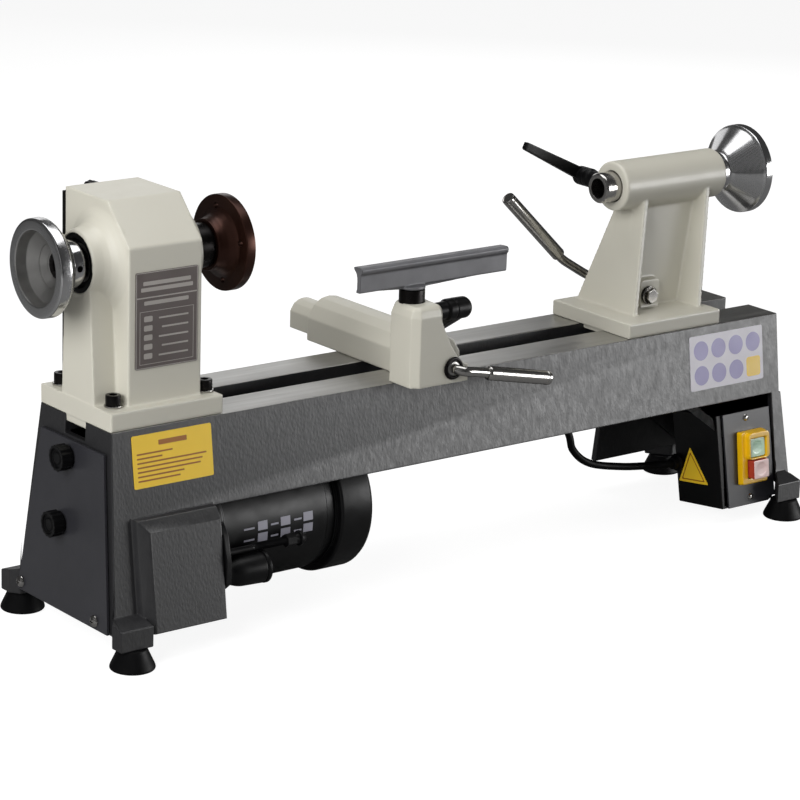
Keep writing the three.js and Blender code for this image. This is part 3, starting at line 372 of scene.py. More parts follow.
class Finish:
    """A Principled material that gains its detail step by step."""

    def __init__(self, name, colour, roughness, metallic=0, coat=0, specular=0.5):
        self.name = name
        self.material = bpy.data.materials.new(name)
        self.material.use_nodes = True
        self.tree = self.material.node_tree
        self.shader = self.tree.nodes["Principled BSDF"]
        self.fill(self.shader, {"Metallic": metallic, "Coat Weight": coat, "Coat Roughness": 0.12,
                                "Specular IOR Level": specular, "Roughness": roughness})
        self.coords = self.node("TexCoord").outputs["Object"]
        self.colour = self.node("RGB").outputs[0]
        self.colour.default_value = (*linear(colour), 1)
        self.set("Base Color", self.colour)
        self.roughness = roughness
        self.normal = None

    def fill(self, node, inputs):
        """Joins each input to a socket, or gives it a value."""
        for key, value in inputs.items():
            if isinstance(value, bpy.types.NodeSocket):
                self.tree.links.new(value, node.inputs[key])
            else:
                node.inputs[key].default_value = value

    def node(self, kind, inputs=None, **settings):
        made = assign(self.tree.nodes.new("ShaderNode" + kind), **settings)
        self.fill(made, inputs or {})
        return made

    def set(self, name, socket):
        self.fill(self.shader, {name: socket})

    def stretched(self, scale):
        return self.node("VectorMath", {0: self.coords, 1: scale}, operation="MULTIPLY").outputs[0]

    def noise(self, scale, detail=2, stretch=(1, 1, 1)):
        inputs = {"Vector": self.stretched(stretch), "Scale": scale, "Detail": detail}
        return self.node("TexNoise", inputs).outputs["Fac"]

    def cells(self, scale, stretch=(1, 1, 1)):
        inputs = {"Vector": self.stretched(stretch), "Scale": scale}
        return self.node("TexVoronoi", inputs, feature="SMOOTH_F1").outputs["Distance"]

    def ranged(self, value, low, high, start=0.3, end=0.7):
        inputs = {"Value": value, "From Min": start, "From Max": end, "To Min": low, "To Max": high}
        return self.node("MapRange", inputs).outputs["Result"]

    def tint(self, scale, amount):
        """Uneven colour, lighter and darker by a share."""
        shade = self.ranged(self.noise(scale), 1 - amount, 1 + amount)
        self.colour = self.node("VectorMath", {0: self.colour, "Scale": shade}, operation="SCALE").outputs[0]
        self.set("Base Color", self.colour)
        return self

    def edges(self, colour, amount):
        """A colour painted where the surface turns sharply outwards: a lighter one there is a painted
        highlight, a darker one is painted shade.
        """
        sharp = self.ranged(self.node("NewGeometry").outputs["Pointiness"], 0, amount, 0.52, 0.6)
        mix = self.node("Mix", data_type="RGBA")
        self.fill(mix, {0: sharp, 6: self.colour, 7: (*linear(colour), 1)})
        self.colour = mix.outputs[2]
        self.set("Base Color", self.colour)
        return self

    def uneven(self, value, amount):
        """Roughness that follows a value, up and down by an amount."""
        self.set("Roughness", self.ranged(value, self.roughness - amount, self.roughness + amount))
        return self

    def smears(self, scale, amount, stretch=(1, 1, 1)):
        return self.uneven(self.noise(scale, 4, stretch), amount)

    def bump(self, height, strength, distance):
        node = self.node("Bump", {"Height": height, "Strength": strength, "Distance": distance * MM})
        if self.normal:
            self.fill(node, {"Normal": self.normal})
        self.normal = node.outputs["Normal"]
        self.set("Normal", self.normal)
        return self

    def grain(self, scale, strength, distance=0.1, stretch=(1, 1, 1)):
        return self.bump(self.noise(scale, 3, stretch), strength, distance)

    def pebbles(self, scale, strength, distance, stretch=(1, 1, 1)):
        return self.bump(self.cells(scale, stretch), strength, distance)

    def turned(self, scale, strength, shade):
        """Fine rings about the spindle, as a lathe tool leaves them."""
        spot = self.node("VectorMath", {0: self.coords, 1: TO_FRAME @ Vector(AXIS)}, operation="SUBTRACT")
        inputs = {"Vector": spot.outputs[0], "Scale": scale, "Distortion": 0.6, "Detail": 2.0}
        rings = self.node("TexWave", inputs, wave_type="RINGS", rings_direction="X").outputs["Fac"]
        return self.bump(rings, strength, 0.05).uneven(rings, shade)


# Finishes of one kind: colour, roughness, uneven colour, uneven roughness, grain, and what else is set.
PLAIN = {
    "black_paint": ("070708", 0.36, (20, 0.1), (80, 0.06), (1300, 0.08, 0.08), {"specular": 0.26}),
    "grey_sheet": ("2c2c30", 0.38, (12, 0.06), (50, 0.05), (1800, 0.1, 0.06), {"coat": 0.1}),
    "polished_steel": ("b3b1ae", 0.2, (60, 0.03), (150, 0.03), (500, 0.012, 0.03), {"metallic": 1.0}),
    "machined_steel": ("a3a2a0", 0.44, (50, 0.08), (140, 0.08), (1500, 0.08, 0.05), {"metallic": 1.0}),
    "black_oxide": ("1c1a1a", 0.3, (60, 0.15), (130, 0.08), (1400, 0.08, 0.05), {"metallic": 0.85}),
    "rubber": ("040405", 0.48, (40, 0.15), (90, 0.08), (1200, 0.08, 0.06), {"specular": 0.16}),
    "black_plastic": ("080809", 0.4, (40, 0.12), (120, 0.07), (1500, 0.14, 0.06), {"specular": 0.2}),
    "yellow_plastic": ("f7c008", 0.32, (40, 0.04), (90, 0.05), (900, 0.08, 0.06), {"coat": 0.2}),
    "green_plastic": ("c4ecd0", 0.3, (60, 0.04), (90, 0.05), (900, 0.06, 0.06), {"coat": 0.2}),
    "red_plastic": ("a8352f", 0.3, (60, 0.05), (90, 0.05), (900, 0.06, 0.06), {"coat": 0.2}),
    "pink_cap": ("ffdcd8", 0.34, (60, 0.04), (90, 0.05), (900, 0.06, 0.06), {}),
    "yellow_sheet": ("f6cc2c", 0.4, (30, 0.03), (70, 0.05), (500, 0.05), {}),
    "lilac_sheet": ("dedbe4", 0.42, (30, 0.02), (70, 0.05), (500, 0.05), {}),
    "violet_ink": ("958ec0", 0.42, (30, 0.04), (70, 0.05), (500, 0.05), {}),
    "brown_ink": ("9c5f12", 0.42, (30, 0.04), (70, 0.05), (500, 0.05), {}),
    "plate_dark": ("5e5654", 0.36, (30, 0.04), (70, 0.05), (700, 0.05), {"metallic": 0.3}),
    "plate_pale": ("a5a09b", 0.36, (30, 0.03), (70, 0.05), (700, 0.05), {"metallic": 0.2}),
    "label_pale": ("a7a6b2", 0.4, (30, 0.03), (70, 0.05), (700, 0.05), {}),
}
FINISHES = {finish.name: finish for finish in (
    Finish("bed_paint", "19191b", 0.47, specular=0.85)
    .tint(14, 0.06).smears(240, 0.06, (1, 1, 0.4))
    .pebbles(520, 0.4, 0.3, (1, 1, 0.55)).grain(1100, 0.2),
    Finish("way_steel", "b2b1ae", 0.36, 1)
    .tint(30, 0.05).smears(260, 0.07, (0.03, 1, 1)).grain(2600, 0.1, 0.05, (0.02, 1, 1)),
    Finish("cream_paint", "cbc8bb", 0.44, coat=0.15)
    # the lighter colour on the sharp edges of the cream paint is a painted highlight
    .tint(9, 0.035).edges("dad7cb", 0.35).smears(60, 0.06).pebbles(420, 0.1, 0.12).grain(900, 0.1),
    Finish("bronze_plate", "3a231c", 0.36, 0.8)
    .tint(24, 0.16).turned(260, 0.07, 0.05).grain(900, 0.04, 0.05),
    Finish("cast_grey", "6c6c6f", 0.46, 0.3)
    # the near-black colour on the sharp edges of the grey castings is painted shade, standing in for the
    # shade of grooves along their rims
    .tint(40, 0.12).edges("151515", 0.8).smears(120, 0.08).pebbles(900, 0.2, 0.14),
    Finish("alloy", "c4c4c5", 0.2, 1)
    .tint(30, 0.04).turned(420, 0.1, 0.08),
)}
for name, (colour, roughness, tint, smears, grain, more) in PLAIN.items():
    FINISHES[name] = Finish(name, colour, roughness, **more).tint(*tint).smears(*smears).grain(*grain)


# ---- pieces

def place(name, shape, finish, body, bevel=0, sharp=35, extra=()):
    """Makes an object of a shape in millimetres and lets it ride on a body."""
    outward(shape).transform(TO_FRAME)
    mesh = as_mesh(name, shape)
    mesh.shade_smooth()
    mesh.set_sharp_from_angle(angle=radians(sharp))
    for slot in (finish, *extra):
        mesh.materials.append(FINISHES[slot].material)
    piece = in_scene(name, mesh)
    if bevel:
        assign(piece.modifiers.new("bevel", "BEVEL"), width=bevel * MM, segments=3, limit_method="ANGLE",
               angle_limit=radians(32), use_clamp_overlap=False, harden_normals=True)
    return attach(piece, body)


def stand_for(node, shape, finish=None, **options):
    """A piece that replaces a CAD node and takes its finish."""
    slot = SLOT_OF[node]
    piece = place(node + "_look", shape, finish or slot, BODY_OF[node], **options)
    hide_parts(node)
    return piece


def eased(node, bevel, **options):
    """A piece with a CAD node's own shape and softer edges."""
    return stand_for(node, cad(node), bevel=bevel, **options)


def detail(name, node, shape, finish, **options):
    """A further piece on the same body as a CAD node."""
    piece = place(name, shape, finish, BODY_OF[node], **options)
    return piece


# ---- bed, feet and end cover

def bed():
    shape = second_finish(cad("bed"), lambda normal, middle: normal.z > 0.99 and middle.z > WAYS_Z - 0.1)
    stand_for("bed", shape, bevel=1, extra=("way_steel",))


def feet():
    profile = rounded([
        (0, 0), (0, 17.6, 1), (1.4, 18.7, 0.8), (3.4, 18.2, 1.2), (15.4, 12.6, 1.5), (17.2, 11.9, 0.5),
        (17.2, 4), (31, 4), (31, 0),
    ])
    for node in ("foot_front_left", "foot_rear_left", "foot_front_right", "foot_rear_right"):
        stand_for(node, revolve(profile, "z", (*middle_of(node), 0)))


def fluted(radius, flutes, depth=0.75, steps=12):
    outline = []
    for i in range(flutes * steps):
        angle = 2 * pi * i / (flutes * steps)
        wave = abs(sin(flutes * angle / 2)) ** 1.5
        outline.append(((radius - depth * wave) * cos(angle), (radius - depth * wave) * sin(angle)))
    return outline


COVER_KNOBS = {"cover_knob_upper": (2, 155), "cover_knob_lower": (9, 98)}
COVER_SCREWS = {"cover_screw_front": (-49, 31.5), "cover_screw_rear": (64, 31.5)}


def end_cover():
    eased("end_cover", 0.7)
    for node, (y, z) in COVER_KNOBS.items():
        face = -END_SLOPE * (WAYS_Z - z) - GAP - 3.8
        cap = prism(shifted(fluted(11, 14), y, z), "x", face - 11.3, face - 1.5)
        collar = revolve(at(face, (-3, 0), (-3, 9.2), (0, 9.8), (0, 0)), "x", (0, y, z))
        hollow = at(face, (-13, 0), (-13, 8.6), (-9.4, 8), (-9.4, 5.2), (-10.4, 4.6), (-10.4, 0))
        dish = revolve(hollow, "x", (0, y, z))
        stud = rod("x", (0, y, z), face - 2, 6, 3)
        stand_for(node, cast([cap, collar, stud], [dish], voxel=0.38, passes=3))
    for node, (y, z) in COVER_SCREWS.items():
        face = -END_SLOPE * (WAYS_Z - z) - GAP - 3.5
        dome = at(face, (-3.1, 0), (-2.9, 2), (-2.2, 3.7), (-1.1, 4.8), (0, 5.1), (0, 2.5))
        screw = revolve(dome + [(4, 2.5), (4, 0)], "x", (0, y, z), 48)
        cross = [block((face - 5, face - 1.6), (y - a, y + a), (z - b, z + b))
                 for a, b in ((2.2, 0.5), (0.5, 2.2))]
        stand_for(node, carve(screw, *cross))


# ---- headstock

def head_profile(inset, low):
    """The headstock's section across the bed, with its chamfered front corner."""
    chamfer = inset * 0.42
    return [
        (FRONT_Y + inset, low), (FRONT_Y + inset, 330.9 - chamfer), (-10.9 + chamfer, HEAD_TOP - inset),
        (BACK_Y - inset, HEAD_TOP - inset), (BACK_Y - inset, low),
    ]


def headstock():
    flare = [
        (0, 0), (0, 25.2), (0.9, 26.6), (3, 27.3), (9, 28.2), (14, 30.4), (18, 34), (20.6, 38.5), (22.4, 43),
        (24, 43), (24, 0),
    ]
    right = [(86, 0), (86, 39), (91.6, 38), (93.6, 35), (98.4, 33.8), (99.6, 33), (100, 31.8), (100, 0)]
    adds = [
        block((0, 106.7), (-WAYS_HALF, WAYS_HALF), (WAYS_Z + GAP, FLANGE_Z)),
        block((0.5, 26), (-GUIDE_HALF, GUIDE_HALF), (WAYS_Z - 6, WAYS_Z + 4)),
        prism(head_profile(0, FLANGE_Z - 5), "x", HEAD_LEFT, HEAD_RIGHT),
        levels((AXIS_Z, (0.6, 26), (-19, 17)), (FLANGE_Z - 3, (0.6, 26), (-26.5, 22))),
        revolve(flare),
        revolve(right),
    ]
    cuts = [
        prism(head_profile(5, WAYS_Z - 8), "x", HEAD_LEFT + 5, HEAD_RIGHT - 5),
        block((HEAD_LEFT + 8, HEAD_RIGHT - 8), (30, 60), (FLANGE_Z + 8, 345.9)),
        rod("x", AXIS, -5, 110, 15.5),
        rod("x", AXIS, -5, 17.3, 24),
        rod("x", AXIS, 85.2, 110, 24),
        rod("y", DOOR_KNOB, 40, 60, 4.8),
    ]
    for x in (12.5, 99.8):
        for y in (-36, 41):
            cuts.append(rod("z", (x, y, 0), WAYS_Z - 5, FLANGE_Z + 5, 4.4))
    stand_for("headstock", cast(adds, cuts, voxel=0.9, passes=3))


def head_bolts():
    top = FLANGE_Z
    for node in sorted(n for n in NODES if n.startswith("headstock_bolt_")):
        x, y = middle_of(node)
        profile = at(WAYS_Z, (-17, 0), (-17, 4)) + at(top, (1.9, 4), (1.9, 6.3), (10.3, 6.3, 0.9), (10.3, 0))
        head = revolve(rounded(profile, 0.3), "z", (x, y, 0), 72)
        socket = prism(shifted(ngon(6, 6.2), x, y), "z", top + 5, top + 13)
        stand_for(node, carve(head, socket))
        washer = rounded(at(top, (GAP, 4.2), (GAP, 7.5), (1.8, 7.5), (1.8, 4.2)), 0.4)
        detail(node + "_washer", node, revolve(washer, "z", (x, y, 0), 64), "polished_steel")


def bearings():
    for node, low in (("rear_bearing", 4), ("front_bearing", 85.5)):
        high = low + 13
        inner, outer, shield_in, shield_out = 12.5, 23.5, 15.6, 20.6
        ring = rounded([
            (low, inner), (low, shield_in), (low + 0.8, shield_in), (low + 0.8, shield_out),
            (low, shield_out), (low, outer, 0.9), (high, outer, 0.9), (high, shield_out),
            (high - 0.8, shield_out),
            (high - 0.8, shield_in), (high, shield_in), (high, inner),
        ], 0.35)
        stand_for(node, revolve(ring))
        for side, x in (("left", low + 0.25), ("right", high - 0.75)):
            near, far = shield_in + 0.2, shield_out - 0.2
            seal = rounded(at(x, (0, near), (0, far), (0.5, far), (0.5, near)), 0.15)
            detail(f"{node}_seal_{side}", node, revolve(seal), "rubber")
    guard = rounded([(0.6, 19.9), (0.6, 24.2, 0.8), (3.2, 24.2), (3.2, 19.9)], 0.5)
    detail("rear_bearing_guard", "rear_bearing", revolve(guard), "rubber")


def belt_door():
    eased("belt_door", 0.6)
    for index, z in enumerate((222, 300)):
        rib = rectangle(30, 82, z, z + 26, 5, 6)
        detail(f"belt_door_panel_{index}", "belt_door",
               prism(rib, "y", BACK_Y + 2.6, BACK_Y + 3.9), "black_paint", bevel=0.5)
    eased("door_hinge_pin", 0.3)
    cap = prism(shifted(fluted(8.5, 12, 0.6), DOOR_KNOB[0], DOOR_KNOB[2]), "y", BACK_Y + 4.6, BACK_Y + 14.2)
    collar = rod("y", DOOR_KNOB, BACK_Y + 3.4, BACK_Y + 6, 7.4)
    hollow = at(BACK_Y, (12.9, 0), (12.9, 5.2), (16, 6.4), (16, 0))
    dish = revolve(hollow, "y", DOOR_KNOB)
    stud = rod("y", DOOR_KNOB, BACK_Y - 2, BACK_Y + 5, 3)
    stand_for("door_knob", cast([cap, collar, stud], [dish], voxel=0.34, passes=3))


# ---- spindle

def spindle():
    profile = rounded([
        (-18.4, 5), (-18.4, 10, 0.8), (0, 10), (0, 12.1), (98.8, 12.1), (98.8, 18.5, 1), (104, 18.5, 0.4),
        (104.6, 17.9, 0.3), (105.2, 18.5, 0.4), (121.7, 18.5, 1), (121.7, 12.7), (137, 12.7, 0.8),
        (137, 8.9), (72, 7.2), (72, 5),
    ], 0.3)
    stand_for("spindle", revolve(profile), "black_oxide")


def pulley(node, steps, z, bore):
    profile = [(32, bore)]
    for i, radius in enumerate(steps):
        left = 32 + 10 * i
        profile += [(left, radius, 0.8), (left + 9.9, radius, 0.8)]
    profile += [(82, bore)]
    stand_for(node, revolve(rounded(profile, 0.5), "x", (0, 0, z)))


def handwheel():
    profile = rounded([
        (-18.4, 10.3), (-18.8, 12.4, 0.4), (-21.6, 18.2), (-22.2, 18.4, 0.2), (-22.3, 19.2), (-27.5, 29, 0.9),
        (-36.6, 30.2, 0.5), (-37.3, 31, 0.4), (-37.3, 38.4, 0.9), (-36.2, 39.8, 0.8),
        (-27.4, 39.9, 1.6), (-25.4, 37.6, 2), (-19.5, 31.5, 2.5), (-15.6, 25.4, 1.2),
        (-14.2, 19.5, 0.4), (-13.6, 18.6, 0.2), (-13, 19.5, 0.4), (-1.9, 19.5, 1.2), (-1.9, 10.3),
    ], 0.5, 5)
    wheel = revolve(profile, segments=144)
    hole = rod("y", (-8, 0, AXIS_Z), -25, -9, 2.6)
    shape = second_finish(carve(wheel, hole), lambda _, middle: (
        middle.x < -18 and hypot(middle.y, middle.z - AXIS_Z) < 30.8))
    stand_for("spindle_handwheel", shape, extra=("machined_steel",))
    screw = rod("y", (-8, 0, AXIS_Z), -17.2, -10.6, 2.3, 32, 0.3)
    socket = prism(shifted(ngon(6, 2.4), -8, AXIS_Z), "y", -19, -15)
    stand_for("handwheel_set_screw", carve(screw, socket))


def faceplate():
    profile = rounded([
        (145.9, 9.5, 0.6), (145.9, 39.8, 0.9), (137.2, 39.8, 0.9), (137.2, 29.2, 0.8), (135.6, 27, 1),
        (130.6, 23.2, 2), (125, 21.6, 1.5), (122.2, 21.3, 0.4), (122, 21), (122, 13), (138, 13),
        (138, 9.5),
    ], 0.4, 5)
    plate = revolve(profile, segments=144)
    hole = [(130, 0), (130, 2.6), (143.4, 2.6), (146.2, 5.2), (150, 5.2), (150, 0)]
    tools = [revolve(hole, "x", around(30.5, 90 * i - 10, AXIS_Z), 32) for i in range(4)]
    stand_for("faceplate", carve(plate, *tools))


# ---- motor

BELT_LEFT, BELT_WIDTH, BELT_THICK = 63, 8, 4.0
BELT_LOW, BELT_HIGH = 24.3, 32.3  # the radii of the belt's inside on the motor and on the spindle


def belt_loop(extra, steps=40):
    """The belt's line round both pulleys, at a height above its inside."""
    lean = asin((BELT_HIGH - BELT_LOW) / (AXIS_Z - MOTOR_Z))
    points = []
    for z, radius, start, end in (
        (AXIS_Z, BELT_HIGH + extra, -lean, pi + lean),
        (MOTOR_Z, BELT_LOW + extra, pi + lean, 2 * pi - lean),
    ):
        for i in range(steps + 1):
            angle = start + (end - start) * i / steps
            points.append((radius * cos(angle), z + radius * sin(angle)))
    return points


def drive_belt():
    """A ribbed belt: its section runs round the loop."""
    section = [(BELT_LEFT, BELT_THICK), (BELT_LEFT + BELT_WIDTH, BELT_THICK)]
    ribs = 4
    for i in range(ribs, 0, -1):
        left = BELT_LEFT + BELT_WIDTH * (i - 1) / ribs
        section += at(left, (BELT_WIDTH / ribs - 0.2, 0.9), (0.62 * BELT_WIDTH / ribs, 0.05),
                      (0.38 * BELT_WIDTH / ribs, 0.05), (0.2, 0.9))
    loops = [belt_loop(depth) for _, depth in section]
    bm = bmesh.new()
    rows = [[bm.verts.new((sx, *point)) for point in loop] for (sx, _), loop in zip(section, loops)]
    for one, two in zip(rows, rows[1:] + rows[:1]):
        for k in range(len(one)):
            n = (k + 1) % len(one)
            bm.faces.new((one[k], two[k], two[n], one[n]))
    belt = stand_for("drive_belt", bm)
    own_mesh(belt)


def motor():
    left = HEAD_RIGHT + 5.6
    centre = (0, 0, MOTOR_Z)
    body = rounded([
        (left, 8), (left, 59, 1), (left + 9, 59, 1), (left + 10.6, 57.6, 0.6), (210.6, 57.6, 0.8),
        (211.8, 56, 0.5), (219.5, 56), (219.5, 0), (128, 0), (128, 8),
    ], 0.5, 4)
    stand_for("motor_housing", revolve(body, "x", centre, 144))
    bell = rounded([
        (219.8, 0), (219.8, 57), (222, 57, 0.4), (222.2, 61.4, 1), (223.9, 62.8, 1), (252.3, 62.8, 0.9),
        (253.6, 61.6, 0.6), (255.4, 61, 0.9), (256, 52, 1.2), (254.7, 50, 0.6), (254.7, 22, 0.6),
        (256, 20, 0.6), (256, 0),
    ], 0.5, 5)
    vents = []
    slot = rectangle(26, 46, -2.1, 2.1, 2, 5)
    for i in range(20):
        angle = 2 * pi * i / 20
        turned = [(r * cos(angle) - w * sin(angle), r * sin(angle) + w * cos(angle) + MOTOR_Z)
                  for r, w in slot]
        vents.append(prism(turned, "x", 249, 259))
    stand_for("motor_end_bell", carve(revolve(bell, "x", centre, 144), *vents))
    for i in range(3):
        dome = rounded([(253.9, 0), (253.9, 2.4), (255.8, 2.2, 0.6), (255.8, 0)], 0.3)
        head = revolve(dome, "x", around(55.5, 30 + 120 * i, MOTOR_Z), 32)
        detail(f"bell_screw_{i}", "motor_end_bell", head, "polished_steel")
    eased("motor_plate", 0.8)
    stand_for("motor_shaft", rod("x", centre, 30.5, 125, 7, 64, 0.8))
    eased("motor_pivot_bolt", 0.4)


def motor_handles():
    start = HEAD_RIGHT + 5.6
    grip = rounded([
        (start, 0), (start, 9), (start + 6, 9.4, 2), (start + 15, 12.6, 4), (134.6, 13.5, 0.8),
        (135.4, 12.6, 0.4), (136.2, 13.9, 0.8), (139.2, 14, 1.2), (140, 12.6, 0.8), (139.2, 10.8, 0.6),
        (139.2, 0),
    ], 0.5, 5)
    stand_for("tension_handle", revolve(grip, "x", (0, -67, 55.2)))
    centre = (0, -66.5, 72.5)
    stem = rod("x", centre, HEAD_RIGHT + 0.6, 165, 3)
    nut = prism(shifted(ngon(6, 10, 0.4), centre[1], centre[2]), "x", 161, 170)
    tip = rounded([
        (169.5, 0), (169.5, 4.6), (174, 4.6), (174, 6.4, 0.6), (176.4, 6.4, 0.6), (177.4, 5.2, 0.4),
        (181, 3.4, 1.2), (181, 0),
    ], 0.4, 4)
    stand_for("motor_lock_handle", join(stem, nut, revolve(tip, "x", centre)), "black_plastic", bevel=0.35)


def motor_label():
    """Pale fields printed on the motor, with no lettering."""
    radius = 57.75

    def wrap(x, turn, lift):
        angle = radians(turn)
        return (x, -(radius + lift) * cos(angle), MOTOR_Z + (radius + lift) * sin(angle))

    steps = 4
    fields = [(x, x + 9.5, turn, turn + 7.4) for x in (140, 163, 186) for turn in (2.2, -7.6)]
    fields += [(x, x + width, turn, turn + 1.5)
               for x, width in ((126, 10.5), (153, 7.5), (176.5, 7.5)) for turn in (4.4, -5.4)]
    shapes = []
    for x0, x1, low, high in fields:
        edge = [(x0, low + (high - low) * i / steps) for i in range(steps + 1)]
        edge += [(x1, high - (high - low) * i / steps) for i in range(steps + 1)]
        shapes.append(moved(prism(edge, "z", 0, 0.18), wrap))
    detail("motor_label", "motor_housing", join(*shapes), "label_pale")


# ---- switch box

SWITCH = Vector((655, -73.2, 14.2))
TILT = atan(SIDE_SLOPE)


def on_switch(shape):
    """Places a shape drawn with the box's front bottom left corner at the origin."""
    shape.transform(Matrix.Translation(SWITCH) @ Matrix.Rotation(-TILT, 4, "X"))
    return shape


START = (24.2, 42.4), (46, 63), -9.6  # a button's two sides, its bottom and top, and how far it stands out
STOP = (24.2, 42.8), (26.2, 43.2), -14.2
PLATE_HEIGHT, PLATE_LEAN = 88, 4.6  # the front plate, and how far its left edge leans


def on_shell(x, y, z):
    """Moves a point drawn on X = 0 onto the left side of the leaning switch box."""
    return (x - 6.4 + PLATE_LEAN * (1 - z / PLATE_HEIGHT), y, z)


def button(node, spec, finish, extra=()):
    (x0, x1), (z0, z1), top = spec
    cap = prism(rectangle(x0, x1, z0, z1, 1.4, 5), "y", top, 6)
    hollow = at(top, (-2, 0), (-2, 8), (0.35, 5.6), (0.6, 0))
    dish = revolve(hollow, "y", ((x0 + x1) / 2, 0, (z0 + z1) / 2))
    shape = outward(cast([cap], [dish], voxel=0.4, passes=3))
    shape.normal_update()
    second_finish(shape, lambda normal, _: extra and normal.y < -0.8)
    stand_for(node, on_switch(shape), finish, extra=extra)


def switch():
    eased("switch_box", 0.9)
    eased("switch_plate", 0.35)
    for node, x, z in (("switch_plate_screw_lower", 31.3, 7.2), ("switch_plate_screw_upper", 28.6, 82)):
        profile = [(-2, 0), (-1.8, 1.4), (-1.2, 2.6), (-0.3, 3.2), (-0.3, 1.8), (6, 1.8), (6, 0)]
        head = revolve(profile, "y", (x, 0, z), 40)
        cross = [block((x - a, x + a), (-4, -1), (z - b, z + b)) for a, b in ((1.7, 0.35), (0.35, 1.7))]
        stand_for(node, on_switch(carve(head, *cross)))
    skirt = hull([(x, -0.3, z) for x, z in rectangle(16.2, 48.3, 20, 70, 2.4, 6)]
                 + [(x, -6.5, z) for x, z in rectangle(16.9, 47.8, 20.8, 69.4, 2.4, 6)])
    hood = hull([(x, -4, z) for x, z in rectangle(20.4, 47.9, 43.4, 69.6, 5, 8)]
                + [(x, -11.6, z) for x, z in rectangle(21.2, 47.2, 43.9, 68.9, 5, 8)])
    wells = [block((x0 - 0.6, x1 + 0.6), (-30, 5), (z0 - 0.6, z1 + 0.6))
             for (x0, x1), (z0, z1), _ in (START, STOP)]
    stand_for("switch_housing", on_switch(cast([skirt, hood], wells, voxel=0.45, passes=3)))
    button("start_button", START, "green_plastic")
    button("stop_button", STOP, "red_plastic", ("pink_cap",))
    corners = [(19, 20.8), (58.5, 20.2), (40.4, 54.2)]
    middle = Vector((39.3, 31.7))

    def mark(scale, low, high, name, finish):
        outline = [tuple(middle + (Vector(c) - middle) * scale) for c in corners]
        shape = moved(prism(rounded(outline, 1.6, 5, turned=False), "x", low, high), on_shell)
        detail(name, "switch_box", on_switch(shape), finish)

    mark(1, -0.35, -0.03, "box_mark", "yellow_sheet")
    mark(0.8, -0.42, -0.3, "box_mark_line", "brown_ink")
    mark(0.7, -0.5, -0.36, "box_mark_middle", "yellow_sheet")


def cable():
    path = [
        (256.4, 20, 118), (264, 20, 118), (290, 34, 142), (330, 41, 150), (440, 41, 150), (500, 32, 138),
        (528, 10, 92), (536, 7, 70), (557, 7, 54), (595, 5, 45), (627, -3, 43), (640, -11, 44.5),
        (650.2, -11, 44.5),
    ]
    stand_for("motor_cable", sweep(path, 3.5, 150, 24))
    grommet = rounded([
        (642, 3.7), (642, 5.6, 1.2), (647, 6.4, 1), (648, 8.2, 0.8), (650.6, 8.2), (650.6, 3.7),
    ], 0.4)
    detail("cable_grommet", "switch_box", revolve(grommet, "x", (0, -11, 44.5), 48), "rubber")


# ---- banjo and tool rest

BANJO_X = 320.0
BANJO_BASE = WAYS_Z + GAP
CAM_Z = WAYS_Z + 13.6
POST = (295, -54.9)
LOCK_Z = WAYS_Z + 56.5
CLAMP_TOP = WAYS_Z - 15.3


def arm_outline(points):
    """A section that is the same on both sides of the banjo's middle."""
    right = [(BANJO_X + w, BANJO_BASE + h) for w, h in points]
    left = [(BANJO_X - w, BANJO_BASE + h) for w, h in reversed(points)]
    return right + left


def banjo():
    base = BANJO_BASE
    tower = []
    for z, edge in ((base, 0), (base + 60, 0), (base + 66, 1.6), (base + 69, 4.6)):
        tower += [(x, y, z) for x, y in (
            (279 + edge, -75.2), (285.5 + edge * 0.6, -81 + edge), (307 - edge * 0.4, -81 + edge),
            (311 - edge, -77), (313 - edge, -48 - edge), (307, -41 - edge), (287, -41 - edge),
            (279 + edge, -48 - edge))]
    flare = [(300, base), (337, base), (337, base + 13)]
    for i in range(15):
        t = i / 14
        flare.append((337 - 29.5 * t, base + 15 + 41 * t ** 1.75))
    flare.append((300, base + 56))
    outline = [(23, 0), (23, 20.5), (16, 31.5), (8, 36.4), (0.01, 37.6)]
    small = [(15, 2), (15, 17.5), (10.5, 24), (5, 27), (0.01, 27.6)]
    adds = [
        hull(tower),
        prism(flare, "y", -81, -44),
        prism(arm_outline(outline), "y", -62, 95),
        prism(arm_outline(small), "y", 90, 132),
    ]
    hollow = arm_outline([(16.5, -5), (16.5, 20), (10, 30), (4, 32)])
    cuts = [
        prism(hollow, "y", -34, 87),
        rod("z", (*POST, 0), WAYS_Z + 4, WAYS_Z + 90, 11.3),
        rod("y", (BANJO_X, 0, CAM_Z), -90, 124, 7.4),
        rod("x", (0, POST[1], LOCK_Z), POST[0] + 5, 330, 4.4),
    ]
    stand_for("banjo", cast(adds, cuts, voxel=0.8, passes=2))


def bent_lever(centre, *points):
    """A thin bent neck and a thicker grip with a shouldered end. The last two points are the grip's ends.

    Points are X and Z from the cam's axis, with Y between them as it is.
    """
    *neck, start, end = [(centre[0] + x, y, centre[2] + z) for x, y, z in points]
    start, end = Vector(start), Vector(end)
    length = (end - start).length
    grip = rounded([
        (0, 0), (0, 4.6, 0.3), (1.4, 6.2, 0.8), *at(length, (-4.4, 6.2, 0.3), (-3.9, 5.7, 0.3),
                                                    (-3.4, 6.2, 0.3), (0, 6, 1), (-0.5, 4.4, 0.4), (-0.5, 0)),
    ], 0.4, 4)
    return join(sweep(neck, 4.2, 48, 32), revolve(grip, end - start, start, 64))


